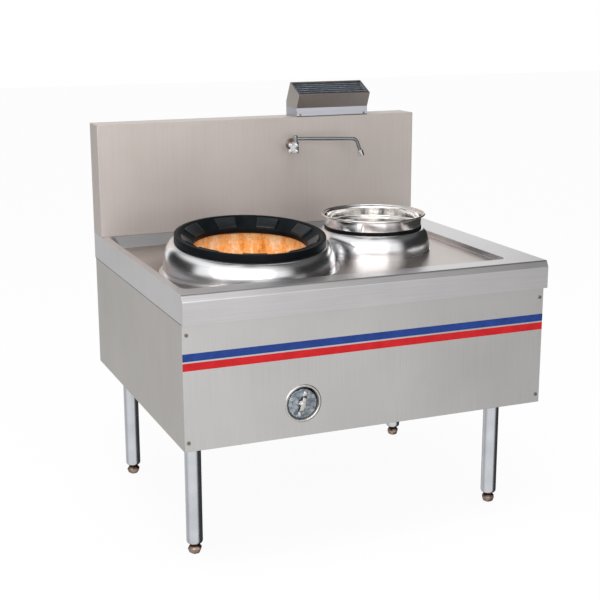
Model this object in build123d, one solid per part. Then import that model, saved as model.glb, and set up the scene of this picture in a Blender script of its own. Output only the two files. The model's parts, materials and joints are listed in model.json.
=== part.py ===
from build123d import *

import os
from math import cos, radians, sin, tan

# A gas wok range on four tube legs: one large wok burner under a tilted stainless dome, and a rear
# pot that is heated by the burner's flue gas on its way to the vent on top of the backsplash.
# Millimetres. +Z is up, +X is to the cook's right, -Y is the front.
# The origin is on the floor, under the middle of the outline.

# ---------------------------------------------------------------- casing
width = 1200.0
depth = 1032.0
worktop_height = 865.0
half_width = width / 2
front_y = -depth / 2
back_y = depth / 2
worktop_sheet = 2.0
apron_height = 87.0
front_bevel_run = 10.0
front_bevel_drop = 20.0
front_lip_depth = 17.0
front_fold_radius = 7.0
casing_sheet = 1.5
casing_drop = 469.0
casing_bottom = worktop_height - casing_drop
front_panel_setback = 20.0
front_panel_height = 394.0
panel_flange = 15.0

# ---------------------------------------------------------------- sunk deck
rim_left = 25.0
rim_right = 105.0
rim_front = 78.0
rim_back = 104.0
wall_run_left = 20.0
wall_run_right = 5.0
wall_run_front = 6.0
wall_run_back = 30.0
wall_drop = 36.0
deck_corner_radius = 24.0
deck_drop = 25.9
deck_height = worktop_height - deck_drop
deck_slope = 1.04
main_collar_width = 12.0
rear_collar_width = 2.5
collar_sheet = 1.5

# ---------------------------------------------------------------- backsplash and vent
splash_height = 385.0
splash_top = worktop_height + splash_height
splash_depth = 100.0
vent_left = 131.0
vent_width = 280.0
vent_sheet = 1.5
vent_collar_height = 31.0
vent_front_lean = 23.0
vent_front_height = 81.0
vent_back_lean = 39.0
vent_back_straight = 51.0
vent_back_height = 120.0
vent_rim = 5.0
vent_slat_count = 6
vent_slat_width = 13.0
vent_slat_sheet = 1.5
vent_slat_lean = 35.0

# ---------------------------------------------------------------- frame, legs and feet
angle_leg = 40.0
angle_wall = 4.0
front_rail_height = 60.0
bearer_height = 35.0
bearer_wall = 3.0
bearer_flange = 35.0
front_bearer_y = front_y + 121.0
rear_bearer_y = back_y - 301.0
leg_x = half_width - 77.0
leg_front_y = front_y + 183.0
leg_rear_y = back_y - 130.0
leg_radius = 25.5
leg_wall = 2.0
leg_plate = 5.0
leg_plate_half_length = 45.0
leg_socket_height = 34.0
leg_socket_wall = 3.5
leg_socket_gap = 0.2
leg_end_height = 45.0
foot_height = 33.0
foot_across_flats = 40.0
foot_neck_radius = 15.0
foot_stem_radius = 8.0
foot_stem_length = 62.0
insert_length = 34.0
running_gap = 0.05
seat_gap = 0.1

# how far cutting shapes reach past what they cut
cut_reach = 60.0
half_space = 1000.0

# ---------------------------------------------------------------- main burner
main_x = -252.0
main_y = -116.0
main_tilt = 5.0
main_dome_radius = 274.0
main_dome_height = 88.5
main_dome_top_radius = 240.0
main_dome_shoulder = 70.0
dome_sheet = 2.0
main_drum_radius = 208.0
main_drum_wall = 3.0
main_drum_top = 60.0
main_drum_bottom = -391.0
drum_flange = 16.0
drum_hole_gap = 4.0
floor_plate = 4.0
air_hole_count = 12
air_hole_radius = 8.0
air_hole_circle = 102.0
lining_gap = 1.0
lining_top_radius = 181.0
lining_waist_radius = 160.0
lining_waist = -60.0
lining_throat_radius = 118.0
lining_throat = -250.0
lining_foot_radius = 114.0
flute_count = 18
flute_radius = 40.0
flute_depth = 5.0
burner_radius = 88.0
burner_height = 30.0
burner_neck_radius = 30.0
burner_neck_length = 14.0
inner_jet_circle = 36.0
inner_jet_count = 6
outer_jet_circle = 68.0
outer_jet_count = 12
jet_radius = 6.5
jet_height = 32.0

# ---------------------------------------------------------------- wok ring
ring_lip_width = 12.0
ring_edge_height = 24.0
ring_hole_radius = 179.0
ring_cone_depth = 31.0
ring_nose_depth = 46.0
ring_nose_wall = 11.0
ring_spigot_gap = 7.0
lug_count = 9
lug_angle = 20.0
lug_first_angle = -6.5
lug_rise = 7.0
lug_outer_radius = 223.0
lug_setback = 2.0

# ---------------------------------------------------------------- rear pot
rear_x = 221.0
rear_y = -33.0
rear_dome_radius = 191.0
rear_dome_height = 75.0
rear_dome_top_radius = 163.0
rear_dome_shoulder = 62.0
rear_drum_radius = 168.0
rear_drum_wall = 3.0
rear_drum_top = 58.0
rear_drum_bottom = -160.0
rear_lining_wall = 10.0
pot_ring_height = 8.0
pot_ring_inner_radius = 148.0
pot_ring_spigot = 12.0
pot_ring_spigot_wall = 5.0
spigot_gap = 1.0
pot_band_radius = 161.0
pot_band_height = 36.0
pot_rim_reach = 13.6
pot_rim_bead = 3.0
pot_well_radius = 140.0
pot_well_depth = 118.0
pot_corner_radius = 28.0
pot_sheet = 1.5

# ---------------------------------------------------------------- flue
flue_bottom = worktop_height - 175.0
flue_height = 90.0
flue_sheet = 2.0
bridge_width = 160.0
duct_width = 170.0
riser_front_gap = 8.0
riser_depth = 70.0
riser_side_gap = 4.0

# ---------------------------------------------------------------- ignition port
port_x = -228.0
port_z = casing_bottom + 102.0
port_bore_radius = 50.5
port_sleeve_wall = 2.0
port_hole_gap = 0.5
bezel_width = 8.0
bezel_thickness = 3.0
cover_radius = 46.5
cover_recess = 5.0
cover_sheet = 1.5
cover_depth = 18.0
cover_floor_gap = 0.4
strap_width = 13.0
strap_sheet = 2.0
strap_reach = 39.0
strap_rise = 6.0
strap_turn = 18.0
grip_turn = -20.0
grip_length = 28.0
rivet_radius = 4.5
rivet_head = 2.5
bolt_radius = 7.5
bolt_head = 4.0

# ---------------------------------------------------------------- stripes and screws
stripe_sheet = 0.3
blue_stripe_bottom = casing_bottom + 271.0
blue_stripe_height = 23.0
red_stripe_bottom = casing_bottom + 243.0
red_stripe_height = 23.0
screw_radius = 5.5
screw_height = 2.5
screw_x = half_width - 15.0
screw_low_z = casing_bottom + 27.0
screw_high_z = casing_bottom + 349.0
vent_screw_radius = 3.5
vent_screw_inset = 14.0
vent_screw_height = 7.0

# ---------------------------------------------------------------- gas pipework
inlet_x = -half_width + 115.0
inlet_y = back_y - 66.0
pipe_end_z = casing_bottom - 16.0
pipe_tail_length = 50.0
gas_tail_radius = 12.6
water_tail_radius = 7.0
tail_collar_height = 12.0
tail_collar_rim = 4.0
manifold_y = front_y + 116.0
manifold_z = casing_bottom + 194.0
manifold_end_x = -70.0
manifold_radius = 13.4
manifold_bend = 40.0
manifold_cap_length = 18.0
main_cock_x = -380.0
pilot_cock_x = -150.0
main_cock_radius = 18.0
pilot_cock_radius = 13.0
cock_length = 34.0
cock_stem_length = 9.0
cock_stem_radius = 5.0
main_lever_length = 85.0
pilot_lever_length = 60.0
lever_width = 14.0
lever_hub_rim = 2.0
lever_sheet = 3.0
feed_radius = 10.6
feed_z = casing_bottom + 12.0
feed_bend = 20.0
pilot_radius = 4.0
pilot_z = casing_bottom + 119.0
pilot_end_y = main_y - 36.0
pilot_bend = 14.0

# ---------------------------------------------------------------- water pipe, tap and drain
tap_x = 108.0
tap_arm_reach = 44.0
tap_inlet_z = splash_top - 95.0
water_pipe_y = back_y - 66.0
water_pipe_radius = 7.5
water_pipe_bend = 22.0
tap_flange_radius = 20.0
tap_flange_thickness = 6.0
tap_arm_radius = 9.0
tap_body_radius = 12.5
tap_body_bottom = tap_inlet_z - 29.0
tap_body_top = tap_inlet_z + 11.0
tap_handle_z = tap_inlet_z - 7.5
tap_handle_turn = 35.0
tap_bonnet_radius = 8.0
tap_bonnet_reach = 27.0
tap_spindle_radius = 4.0
tap_spindle_length = 10.0
tap_handle_length = 15.0
tap_handle_hub = 9.5
tap_lobe_circle = 14.5
tap_lobe_radius = 7.5
tap_lobe_count = 4
spout_head_radius = 8.0
spout_head_height = 24.0
spout_spigot_radius = 5.0
spout_spigot_length = 15.0
spout_radius = 6.2
spout_reach = 227.0
spout_rise = 12.0
spout_droop = 7.0
spout_drop_reach = 18.0
spout_drop = 52.0
spout_bend = 22.0
spout_turn = -7.4
aerator_radius = 11.0
aerator_length = 22.0
drain_x = -half_width + 270.0
drain_y = back_y - 191.0
drain_radius = 26.0
drain_flange = 8.0
drain_sheet = 2.0
drain_cup_depth = 40.0
drain_pipe_radius = 19.0
drain_pipe_length = 90.0
drain_tail_length = 40.0
drain_neck_radius = 22.0
strainer_gap = 0.6
strainer_depth = 12.0
strainer_hole_radius = 3.0
strainer_hole_circle = 14.0
strainer_hole_count = 8

# ---------------------------------------------------------------- derived places
rim_underside = worktop_height - worktop_sheet
apron_bottom = worktop_height - apron_height
skin_x = half_width - worktop_sheet
skin_back_y = back_y - worktop_sheet
frame_x = skin_x - casing_sheet
frame_front_y = front_y + front_panel_setback
frame_back_y = skin_back_y - casing_sheet
panel_front_y = frame_front_y - casing_sheet
splash_front_y = back_y - splash_depth
tap_y = splash_front_y - tap_arm_reach
vent_right = vent_left + vent_width
main_drum_inner = main_drum_radius - main_drum_wall
rear_drum_inner = rear_drum_radius - rear_drum_wall
flue_top = flue_bottom + flue_height
flue_middle = flue_bottom + flue_height / 2
leg_places = {
    "front_left": (-leg_x, leg_front_y),
    "front_right": (leg_x, leg_front_y),
    "rear_left": (-leg_x, leg_rear_y),
    "rear_right": (leg_x, leg_rear_y),
}


# ---------------------------------------------------------------- small helpers
def block(x0, x1, y0, y1, z0, z1):
    """A box between two corners."""
    return Pos((x0 + x1) / 2, (y0 + y1) / 2, (z0 + z1) / 2) * Box(x1 - x0, y1 - y0, z1 - z0)


def rod(radius, z0, z1, x=0.0, y=0.0):
    """An upright cylinder."""
    return Pos(x, y, (z0 + z1) / 2) * Cylinder(radius, z1 - z0)


def tube(outer, inner, z0, z1):
    """An upright pipe around the Z axis."""
    return rod(outer, z0, z1) - rod(inner, z0 - 1, z1 + 1)


def turned(*points):
    """A solid of revolution from a closed outline of (radius, height) points."""
    return revolve(Plane.XZ * make_face(Polyline(*points, close=True)), Axis.Z)


def bent_rod(points, radius, bend):
    """A round bar that follows straight runs joined by bends."""
    route = FilletPolyline(*points, radius=bend)
    section = Plane(origin=route @ 0, z_dir=route % 0) * Circle(radius)
    return sweep(section, path=route)


def along_y(shape):
    """Turns an upright shape so that its top points to the front."""
    return Rot(90, 0, 0) * shape


def around(shape, count, start=0.0):
    """Copies of a shape, evenly spaced around the Z axis."""
    return [Rot(0, 0, start + 360 / count * k) * shape for k in range(count)]


def deck_z(x):
    """Height of the sloping deck's upper face at x."""
    return deck_height + x * tan(radians(deck_slope))


deck_plane = Plane(
    origin=(0, 0, deck_height),
    x_dir=(cos(radians(deck_slope)), 0, sin(radians(deck_slope))),
    z_dir=(-sin(radians(deck_slope)), 0, cos(radians(deck_slope))),
)
main_place = Pos(main_x, main_y, deck_z(main_x)) * Rot(main_tilt, 0, 0)
rear_place = Pos(rear_x, rear_y, deck_z(rear_x))


def below_deck(offset=0.0):
    """Everything under the deck's upper face, lowered by an offset."""
    return deck_plane * Pos(0, 0, -offset - half_space / 2) * Box(3 * width, 3 * depth, half_space)


def above_deck(height):
    """Everything above a plane parallel to the deck, at a height over it."""
    return deck_plane * Pos(0, 0, height + half_space / 2) * Box(3 * width, 3 * depth, half_space)


# ---------------------------------------------------------------- worktop
def sunk_pan(skin):
    """The space of the sunk deck, grown outwards by a skin."""
    x0 = -half_width + rim_left - skin
    x1 = half_width - rim_right + skin
    y0 = front_y + rim_front - skin
    y1 = back_y - rim_back + skin
    deep = 2.0
    mouth = Pos((x0 + x1) / 2, (y0 + y1) / 2, worktop_height) * Rectangle(x1 - x0, y1 - y0)
    fx0 = x0 + deep * wall_run_left
    fx1 = x1 - deep * wall_run_right
    fy0 = y0 + deep * wall_run_front
    fy1 = y1 - deep * wall_run_back
    floor_z = worktop_height - deep * wall_drop
    floor = Pos((fx0 + fx1) / 2, (fy0 + fy1) / 2, floor_z) * Rectangle(fx1 - fx0, fy1 - fy0)
    pan = loft([mouth.face(), floor.face()], ruled=True)
    corners = [edge for edge in pan.edges() if edge.bounding_box().size.Z > wall_drop]
    pan = fillet(corners, deck_corner_radius + skin)
    return pan - below_deck(skin)


def pan_shell():
    """Sheet around the sunk deck's space: four leaning walls and the sloping floor."""
    return sunk_pan(worktop_sheet) - sunk_pan(0)


def worktop():
    """Folded sheet: flat rim, apron all round, bevelled front edge, and the sunk deck's walls."""
    section = make_face(Polyline(
        (front_y, apron_bottom),
        (front_y, worktop_height - front_bevel_drop),
        (front_y + front_bevel_run, worktop_height),
        (back_y, worktop_height),
        (back_y, apron_bottom),
        close=True,
    ))
    folds = section.vertices().filter_by(lambda corner: corner.X < 0 and corner.Y > apron_bottom)
    section = fillet(folds, front_fold_radius)
    inner_section = offset(section, amount=-worktop_sheet, kind=Kind.INTERSECTION)
    outside = extrude(Plane.YZ * section, amount=half_width, both=True)
    inside = extrude(Plane.YZ * inner_section, amount=skin_x, both=True)
    mouth = block(-skin_x, skin_x, front_y + front_lip_depth, skin_back_y,
                  apron_bottom - 1, apron_bottom + 2 * worktop_sheet)
    low = worktop_height - cut_reach
    high = worktop_height + cut_reach
    top = outside - (inside + mouth) - sunk_pan(worktop_sheet)
    top -= riser_outside(low, high)
    top -= rod(water_pipe_radius + running_gap, low, high, tap_x, water_pipe_y)
    return top + (pan_shell() - below_deck())


def sunk_deck():
    """Floor sheet welded under the sunk deck's walls, sloping to the drain."""
    floor = pan_shell() - above_deck(0)
    floor -= main_place * rod(main_drum_radius + drum_hole_gap, -cut_reach, cut_reach)
    floor -= rear_place * rod(rear_drum_radius + drum_hole_gap, -cut_reach, cut_reach)
    return floor - rod(drain_radius, deck_height - cut_reach, deck_height + cut_reach,
                       drain_x, drain_y)


# ---------------------------------------------------------------- casing panels
def front_panel():
    """Lift-off service panel across the front, with the port's hole."""
    top_z = casing_bottom + front_panel_height
    panel = block(-skin_x, skin_x, panel_front_y, frame_front_y, casing_bottom, top_z)
    hole = port_bore_radius + port_sleeve_wall + port_hole_gap
    return panel - port_axis_rod(hole, panel_front_y - 5, frame_front_y + 5)


def side_panel(side):
    """Side sheet with a turned-in flange under the rim."""
    sheet = block(frame_x, skin_x, frame_front_y, skin_back_y, casing_bottom, rim_underside)
    flange = block(skin_x - panel_flange, skin_x, frame_front_y, frame_back_y,
                   rim_underside - casing_sheet, rim_underside)
    panel = sheet + flange
    return panel if side > 0 else mirror(panel, about=Plane.YZ)


def back_panel():
    """Rear sheet of the body, between the side panels."""
    sheet = block(-frame_x, frame_x, frame_back_y, skin_back_y, casing_bottom, rim_underside)
    reach = skin_x - panel_flange
    flange = block(-reach, reach, skin_back_y - panel_flange, skin_back_y,
                   rim_underside - casing_sheet, rim_underside)
    return sheet + flange


# ---------------------------------------------------------------- welded frame
def base_frame():
    """Angle-iron ring around the bottom, with a leg plate and socket at each leg."""
    top_z = casing_bottom + angle_leg
    ring = block(-frame_x, frame_x, frame_front_y, frame_back_y, casing_bottom, top_z)
    ring -= block(-frame_x + angle_wall, frame_x - angle_wall,
                  frame_front_y + angle_wall, frame_back_y - angle_wall,
                  casing_bottom + angle_wall, top_z + 1)
    ring -= block(-frame_x + angle_leg, frame_x - angle_leg,
                  frame_front_y + angle_leg, frame_back_y - angle_leg,
                  casing_bottom - 1, top_z)
    bore = leg_radius + leg_socket_gap
    shell = bore + leg_socket_wall
    socket_top = casing_bottom + leg_socket_height
    for x, y in leg_places.values():
        inner_x = abs(x) - shell - leg_plate
        near, far = sorted((inner_x, frame_x - angle_wall))
        x0, x1 = (near, far) if x > 0 else (-far, -near)
        plate = block(x0, x1, y - leg_plate_half_length, y + leg_plate_half_length,
                      casing_bottom, casing_bottom + leg_plate)
        ring += plate
        ring += rod(shell, casing_bottom, socket_top + leg_plate, x, y)
    for x, y in leg_places.values():
        ring -= rod(bore, casing_bottom - 1, socket_top, x, y)
    return ring


def corner_posts():
    """Four angle-iron uprights between the base frame and the worktop's rim."""
    low = casing_bottom + angle_leg
    high = rim_underside - casing_sheet
    post = block(frame_x - angle_leg, frame_x, frame_back_y - angle_leg, frame_back_y, low, high)
    post -= block(frame_x - angle_leg - 1, frame_x - angle_wall,
                  frame_back_y - angle_leg - 1, frame_back_y - angle_wall, low - 1, high + 1)
    rear = [post, mirror(post, about=Plane.YZ)]
    centre = Plane.XZ.offset(-(frame_front_y + frame_back_y) / 2)
    return Compound(children=rear + [mirror(solid, about=centre) for solid in rear])


def front_rail():
    """Angle that carries the front rim and closes the gap above the front panel."""
    reach = frame_x - angle_leg
    web = block(-reach, reach, frame_front_y, frame_front_y + angle_wall,
                rim_underside - front_rail_height, rim_underside)
    flange = block(-reach, reach, frame_front_y, frame_front_y + angle_leg,
                   rim_underside - angle_wall, rim_underside)
    return web + flange


def deck_bearers():
    """The front rail, and two angles across the body, cut to the deck's slope, under the deck."""
    bars = [front_rail()]
    low = deck_height - bearer_height - cut_reach
    high = deck_height + cut_reach
    for y in (front_bearer_y, rear_bearer_y):
        web = block(-frame_x, frame_x, y, y + bearer_wall, low, high)
        web -= below_deck(worktop_sheet + bearer_height)
        top = block(-frame_x, frame_x, y, y + bearer_flange, low, high)
        top -= below_deck(worktop_sheet + bearer_wall)
        bars.append(web + top - above_deck(-worktop_sheet))
    return Compound(children=bars)


# ---------------------------------------------------------------- legs and feet
def leg(x, y):
    """Tube leg, up into its socket."""
    top_z = casing_bottom + leg_socket_height
    return Pos(x, y, 0) * tube(leg_radius, leg_radius - leg_wall, leg_end_height, top_z)


def leg_inserts():
    """Rounded plugs in the tubes' lower ends, bored for the feet."""
    bore = foot_stem_radius + running_gap
    shoulder = make_face(Polyline(
        (bore, foot_height),
        (leg_radius, foot_height),
        (leg_radius, leg_end_height),
        (leg_radius - leg_wall, leg_end_height),
        (leg_radius - leg_wall, leg_end_height + insert_length),
        (bore, leg_end_height + insert_length),
        close=True,
    ))
    corner = shoulder.vertices().sort_by(Axis.Y)[:2].sort_by(Axis.X)[-1]
    plug = revolve(Plane.XZ * fillet(corner, leg_end_height - foot_height - 2), Axis.Z)
    return Compound(children=[Pos(x, y, 0) * plug for x, y in leg_places.values()])


def foot(x, y):
    """Adjustable foot: a hexagonal bullet with a neck and a plain stem for the screw."""
    bullet = turned((0, 0), (13, 0), (18, 3), (24, 15), (24, 18), (foot_neck_radius, 29),
                    (foot_neck_radius, foot_height - seat_gap), (0, foot_height - seat_gap))
    hexagon = RegularPolygon(foot_across_flats / 2, 6, major_radius=False)
    bullet &= extrude(hexagon, amount=foot_height)
    stem = rod(foot_stem_radius, foot_height - 2, foot_height + foot_stem_length)
    return Pos(x, y, 0) * (bullet + stem)


# ---------------------------------------------------------------- domes
def dome_outline(radius, top_radius, height, shoulder, foot_z, hole):
    """Half section of a spun dome: upright skirt, quarter-ellipse shoulder, flat top."""
    spring_z = height - shoulder
    bow = EllipticalCenterArc((top_radius, spring_z), radius - top_radius, shoulder, arc_size=90)
    rest = Polyline((top_radius, height), (hole, height), (hole, foot_z), (radius, foot_z),
                    (radius, spring_z))
    return make_face(bow + rest)


def dome(place, radius, top_radius, height, shoulder, hole, collar_width):
    """Spun stainless dome with a flat collar on the deck."""
    t = dome_sheet
    outer_half = dome_outline(radius, top_radius, height, shoulder, -cut_reach, hole)
    inner_half = dome_outline(radius - t, top_radius - t, height - t, shoulder - t,
                              -cut_reach - 1, hole - 1)
    shell = place * (revolve(Plane.XZ * outer_half, Axis.Z) - revolve(Plane.XZ * inner_half, Axis.Z))
    collar = place * tube(radius + collar_width, radius - t, -cut_reach, cut_reach)
    return (shell - below_deck()) + (collar - below_deck() - above_deck(collar_sheet))


def main_dome():
    """The large tilted dome."""
    return dome(main_place, main_dome_radius, main_dome_top_radius, main_dome_height,
                main_dome_shoulder, main_drum_radius + drum_hole_gap, main_collar_width)


def rear_dome():
    """The small upright dome."""
    hole = pot_ring_inner_radius + pot_ring_spigot_wall + spigot_gap
    return dome(rear_place, rear_dome_radius, rear_dome_top_radius, rear_dome_height,
                rear_dome_shoulder, hole, rear_collar_width)


# ---------------------------------------------------------------- combustion chamber
def flue_bridge_box(inset):
    """The bridge's outer or inner block, from the main axis to the rear axis."""
    start = Vector(main_x, main_y + (deck_z(main_x) - flue_middle) * sin(radians(main_tilt)), 0)
    end = Vector(rear_x, rear_y, 0)
    span = end - start
    box = Pos(span.length / 2, 0, 0) * Box(span.length, bridge_width - 2 * inset,
                                           flue_height - 2 * inset)
    turn = Vector(1, 0, 0).get_signed_angle(span, Vector(0, 0, 1))
    return Pos(start.X, start.Y, flue_middle) * Rot(0, 0, turn) * box


def flue_duct_box(inset):
    """The duct's outer or inner block, from the rear axis to the riser."""
    return block(rear_x - duct_width / 2 + inset, rear_x + duct_width / 2 - inset,
                 rear_y, splash_front_y + riser_front_gap, flue_bottom + inset, flue_top - inset)


def port_axis_rod(radius, y0, y1, z_shift=0.0):
    """A cylinder on the port's axis, between two depths."""
    return Pos(port_x, (y0 + y1) / 2, port_z + z_shift) * along_y(Cylinder(radius, y1 - y0))


def pilot_hole():
    """Straight hole for the pilot tube through the chamber wall."""
    length = pilot_end_y - manifold_y
    middle = (pilot_end_y + manifold_y) / 2
    return Pos(pilot_cock_x, middle, pilot_z) * along_y(Cylinder(pilot_radius + 1, length))


def chamber_openings(solid):
    """Cuts the flue window, the port and the pilot hole out of a chamber wall."""
    solid -= flue_bridge_box(flue_sheet)
    solid -= port_axis_rod(port_bore_radius - port_sleeve_wall, panel_front_y, main_y)
    return solid - pilot_hole()


def main_drum():
    """Steel drum that hangs through the deck and holds the lining."""
    wall = main_place * tube(main_drum_radius, main_drum_inner, main_drum_bottom, main_drum_top)
    ring = main_place * tube(main_drum_radius + drum_flange, main_drum_inner, -cut_reach, cut_reach)
    ring -= above_deck(-worktop_sheet)
    ring -= below_deck(worktop_sheet + main_drum_wall)
    return chamber_openings(wall + ring)


def main_floor_plate():
    """Round plate under the lining, with air holes around the burner."""
    low = main_drum_bottom
    plate = rod(main_drum_inner - running_gap, low, low + floor_plate)
    plate -= rod(burner_neck_radius, low - 1, low + floor_plate + 1)
    hole = rod(air_hole_radius, low - 1, low + floor_plate + 1, air_hole_circle)
    for copy in around(hole, air_hole_count):
        plate -= copy
    return main_place * plate


def main_lining():
    """Refractory lining: a fluted bowl that narrows down to the burner."""
    outer = main_drum_inner - lining_gap
    low = main_drum_bottom + floor_plate
    top = main_drum_top
    body = turned(
        (lining_foot_radius, low),
        (outer, low),
        (outer, top),
        (lining_top_radius, top),
        (lining_waist_radius, lining_waist),
        (lining_throat_radius, lining_throat),
    )
    run = lining_top_radius - lining_waist_radius
    rise = top - lining_waist
    lean = Plane(origin=(lining_top_radius + flute_depth - flute_radius, 0, top),
                 z_dir=(run, 0, rise))
    flute = lean * Pos(0, 0, -rise / 2) * Cylinder(flute_radius, rise * 1.6)
    for copy in around(flute, flute_count, 180 / flute_count):
        body -= copy
    return chamber_openings(main_place * body)


def main_burner():
    """Cast burner box on the floor plate, with its neck through the plate."""
    low = main_drum_bottom + floor_plate
    head = fillet(rod(burner_radius, low, low + burner_height).edges().sort_by(Axis.Z)[-1], 6)
    neck = rod(burner_neck_radius - running_gap, main_drum_bottom - burner_neck_length, low + 1)
    return main_place * (head + neck) - rod(feed_radius, feed_z, feed_end_z(), main_x, feed_end_y())


def main_jets():
    """Brass jets in rings on top of the burner."""
    low = main_drum_bottom + floor_plate + burner_height
    jets = []
    rings = ((0.0, 1), (inner_jet_circle, inner_jet_count), (outer_jet_circle, outer_jet_count))
    for circle, count in rings:
        jet = Pos(circle, 0, 0) * turned((0, low), (jet_radius, low),
                                         (jet_radius, low + 0.7 * jet_height),
                                         (jet_radius / 2, low + jet_height), (0, low + jet_height))
        jets += around(jet, count)
    return Compound(children=[main_place * jet for jet in jets])


def wok_ring():
    """Cast-iron ring: flat lip, cone down to the hole, and raised lugs that carry the wok."""
    seat = main_dome_height + seat_gap
    lip = seat + ring_edge_height
    edge = main_dome_top_radius
    hole = ring_hole_radius
    spigot = main_drum_radius + drum_hole_gap - ring_spigot_gap
    body = turned(
        (edge - 2, lip),
        (edge - ring_lip_width, lip),
        (hole, lip - ring_cone_depth),
        (hole, lip - ring_nose_depth),
        (hole + ring_nose_wall, lip - ring_nose_depth),
        (spigot, seat),
        (edge - 2, seat),
        (edge, seat + 2),
        (edge, lip - 2),
    )
    slope = ring_cone_depth / (edge - ring_lip_width - hole)
    inner = hole + lug_setback
    inner_z = lip - ring_cone_depth + slope * lug_setback
    outer_z = lip - ring_cone_depth + slope * (lug_outer_radius - hole)
    profile = make_face(Polyline(
        (inner, inner_z - lug_rise),
        (inner, inner_z + lug_rise),
        (lug_outer_radius - lug_rise, outer_z + lug_rise * (1 - slope)),
        (lug_outer_radius, outer_z - lug_rise),
        close=True,
    ))
    lug = Rot(0, 0, -lug_angle / 2) * revolve(Plane.XZ * profile, Axis.Z, lug_angle)
    for copy in around(lug, lug_count, lug_first_angle):
        body += copy
    return main_place * body


# ---------------------------------------------------------------- rear pot
def pot_seat_z():
    """Height of the pot ring's underside above the rear deck point."""
    return rear_dome_height + seat_gap


def pot_ring():
    """Black cast ring with a spigot in the rear dome's hole."""
    seat = pot_seat_z()
    top = seat + pot_ring_height
    spigot = pot_ring_inner_radius + pot_ring_spigot_wall
    return rear_place * turned(
        (pot_ring_inner_radius, top),
        (pot_ring_inner_radius, seat - pot_ring_spigot),
        (spigot, seat - pot_ring_spigot),
        (spigot, seat),
        (rear_dome_top_radius, seat),
        (rear_dome_top_radius, top - 1.5),
        (rear_dome_top_radius - 1.5, top),
    )


def pot():
    """Stepped pot: wide band with a rolled rim, a ledge that sits on the ring, and a deep well."""
    step = pot_seat_z() + pot_ring_height + seat_gap
    t = pot_sheet
    band_top = step + pot_band_height
    rim = pot_band_radius + pot_rim_reach - pot_rim_bead
    rim_z = band_top + 3
    well_floor = step - pot_well_depth
    outside = make_face(Polyline(
        (0, well_floor),
        (pot_well_radius, well_floor),
        (pot_well_radius, step),
        (pot_band_radius, step),
        (pot_band_radius, band_top),
        (rim, rim_z),
        (rim, rim_z + t),
        (0, rim_z + t),
        close=True,
    ))
    low_corner = outside.vertices().sort_by(Axis.Y)[:2].sort_by(Axis.X)[-1]
    outside = fillet(low_corner, pot_corner_radius)
    inside = make_face(Polyline(
        (0, well_floor + t),
        (pot_well_radius - t, well_floor + t),
        (pot_well_radius - t, step + t),
        (pot_band_radius - t, step + t),
        (pot_band_radius - t, band_top + t),
        (rim, rim_z + t),
        (rim, rim_z + 3 * t),
        (0, rim_z + 3 * t),
        close=True,
    ))
    low_corner = inside.vertices().sort_by(Axis.Y)[:2].sort_by(Axis.X)[-1]
    inside = fillet(low_corner, pot_corner_radius - t)
    shell = revolve(Plane.XZ * outside, Axis.Z) - revolve(Plane.XZ * inside, Axis.Z)
    bead = Pos(0, 0, rim_z) * Torus(rim, pot_rim_bead)
    return rear_place * (shell + bead)


def rear_drum():
    """Closed drum under the rear pot that the flue gas passes through."""
    wall = tube(rear_drum_radius, rear_drum_inner, rear_drum_bottom, rear_drum_top)
    floor = rod(rear_drum_radius, rear_drum_bottom, rear_drum_bottom + rear_drum_wall)
    drum = rear_place * (wall + floor)
    ring = rear_place * tube(rear_drum_radius + drum_flange, rear_drum_inner, -cut_reach, cut_reach)
    ring -= above_deck(-worktop_sheet)
    ring -= below_deck(worktop_sheet + rear_drum_wall)
    return drum + ring - flue_bridge_box(flue_sheet) - flue_duct_box(flue_sheet)


def rear_lining():
    """Insulating ring inside the rear drum."""
    outer = rear_drum_inner - lining_gap
    ring = tube(outer, outer - rear_lining_wall, rear_drum_bottom + rear_drum_wall,
                rear_drum_top)
    return rear_place * ring - flue_bridge_box(flue_sheet) - flue_duct_box(flue_sheet)


# ---------------------------------------------------------------- flue
def chamber_solid():
    """The main drum's outer cylinder, filled."""
    return main_place * rod(main_drum_radius, main_drum_bottom, main_drum_top)


def rear_chamber_solid():
    """The rear drum's outer cylinder, filled."""
    return rear_place * rod(rear_drum_radius, rear_drum_bottom, rear_drum_top)


def flue_bridge():
    """Short rectangular duct between the two drums."""
    duct = flue_bridge_box(0) - flue_bridge_box(flue_sheet)
    return duct - chamber_solid() - rear_chamber_solid()


def flue_duct():
    """Rectangular duct from the rear drum back to the riser."""
    duct = flue_duct_box(0) - flue_duct_box(flue_sheet)
    duct -= block(rear_x - duct_width / 2 + flue_sheet, rear_x + duct_width / 2 - flue_sheet,
                  splash_front_y - cut_reach, back_y, flue_bottom + flue_sheet,
                  flue_top - flue_sheet)
    return duct - rear_chamber_solid()


def riser_outside(z0, z1, inset=0.0):
    """The riser's outer or inner block between two heights."""
    y0 = splash_front_y + riser_front_gap
    return block(vent_left + riser_side_gap + inset, vent_right - riser_side_gap - inset,
                 y0 + inset, y0 + riser_depth - inset, z0, z1)


def flue_riser():
    """Upright duct inside the backsplash, from the flue duct to the vent."""
    riser = riser_outside(flue_bottom - flue_sheet, splash_top)
    riser -= riser_outside(flue_bottom, splash_top + 1, flue_sheet)
    y0 = splash_front_y + riser_front_gap
    return riser - block(rear_x - duct_width / 2 + flue_sheet, rear_x + duct_width / 2 - flue_sheet,
                         y0 - 1, y0 + flue_sheet + 1, flue_bottom + flue_sheet,
                         flue_top - flue_sheet)


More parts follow.
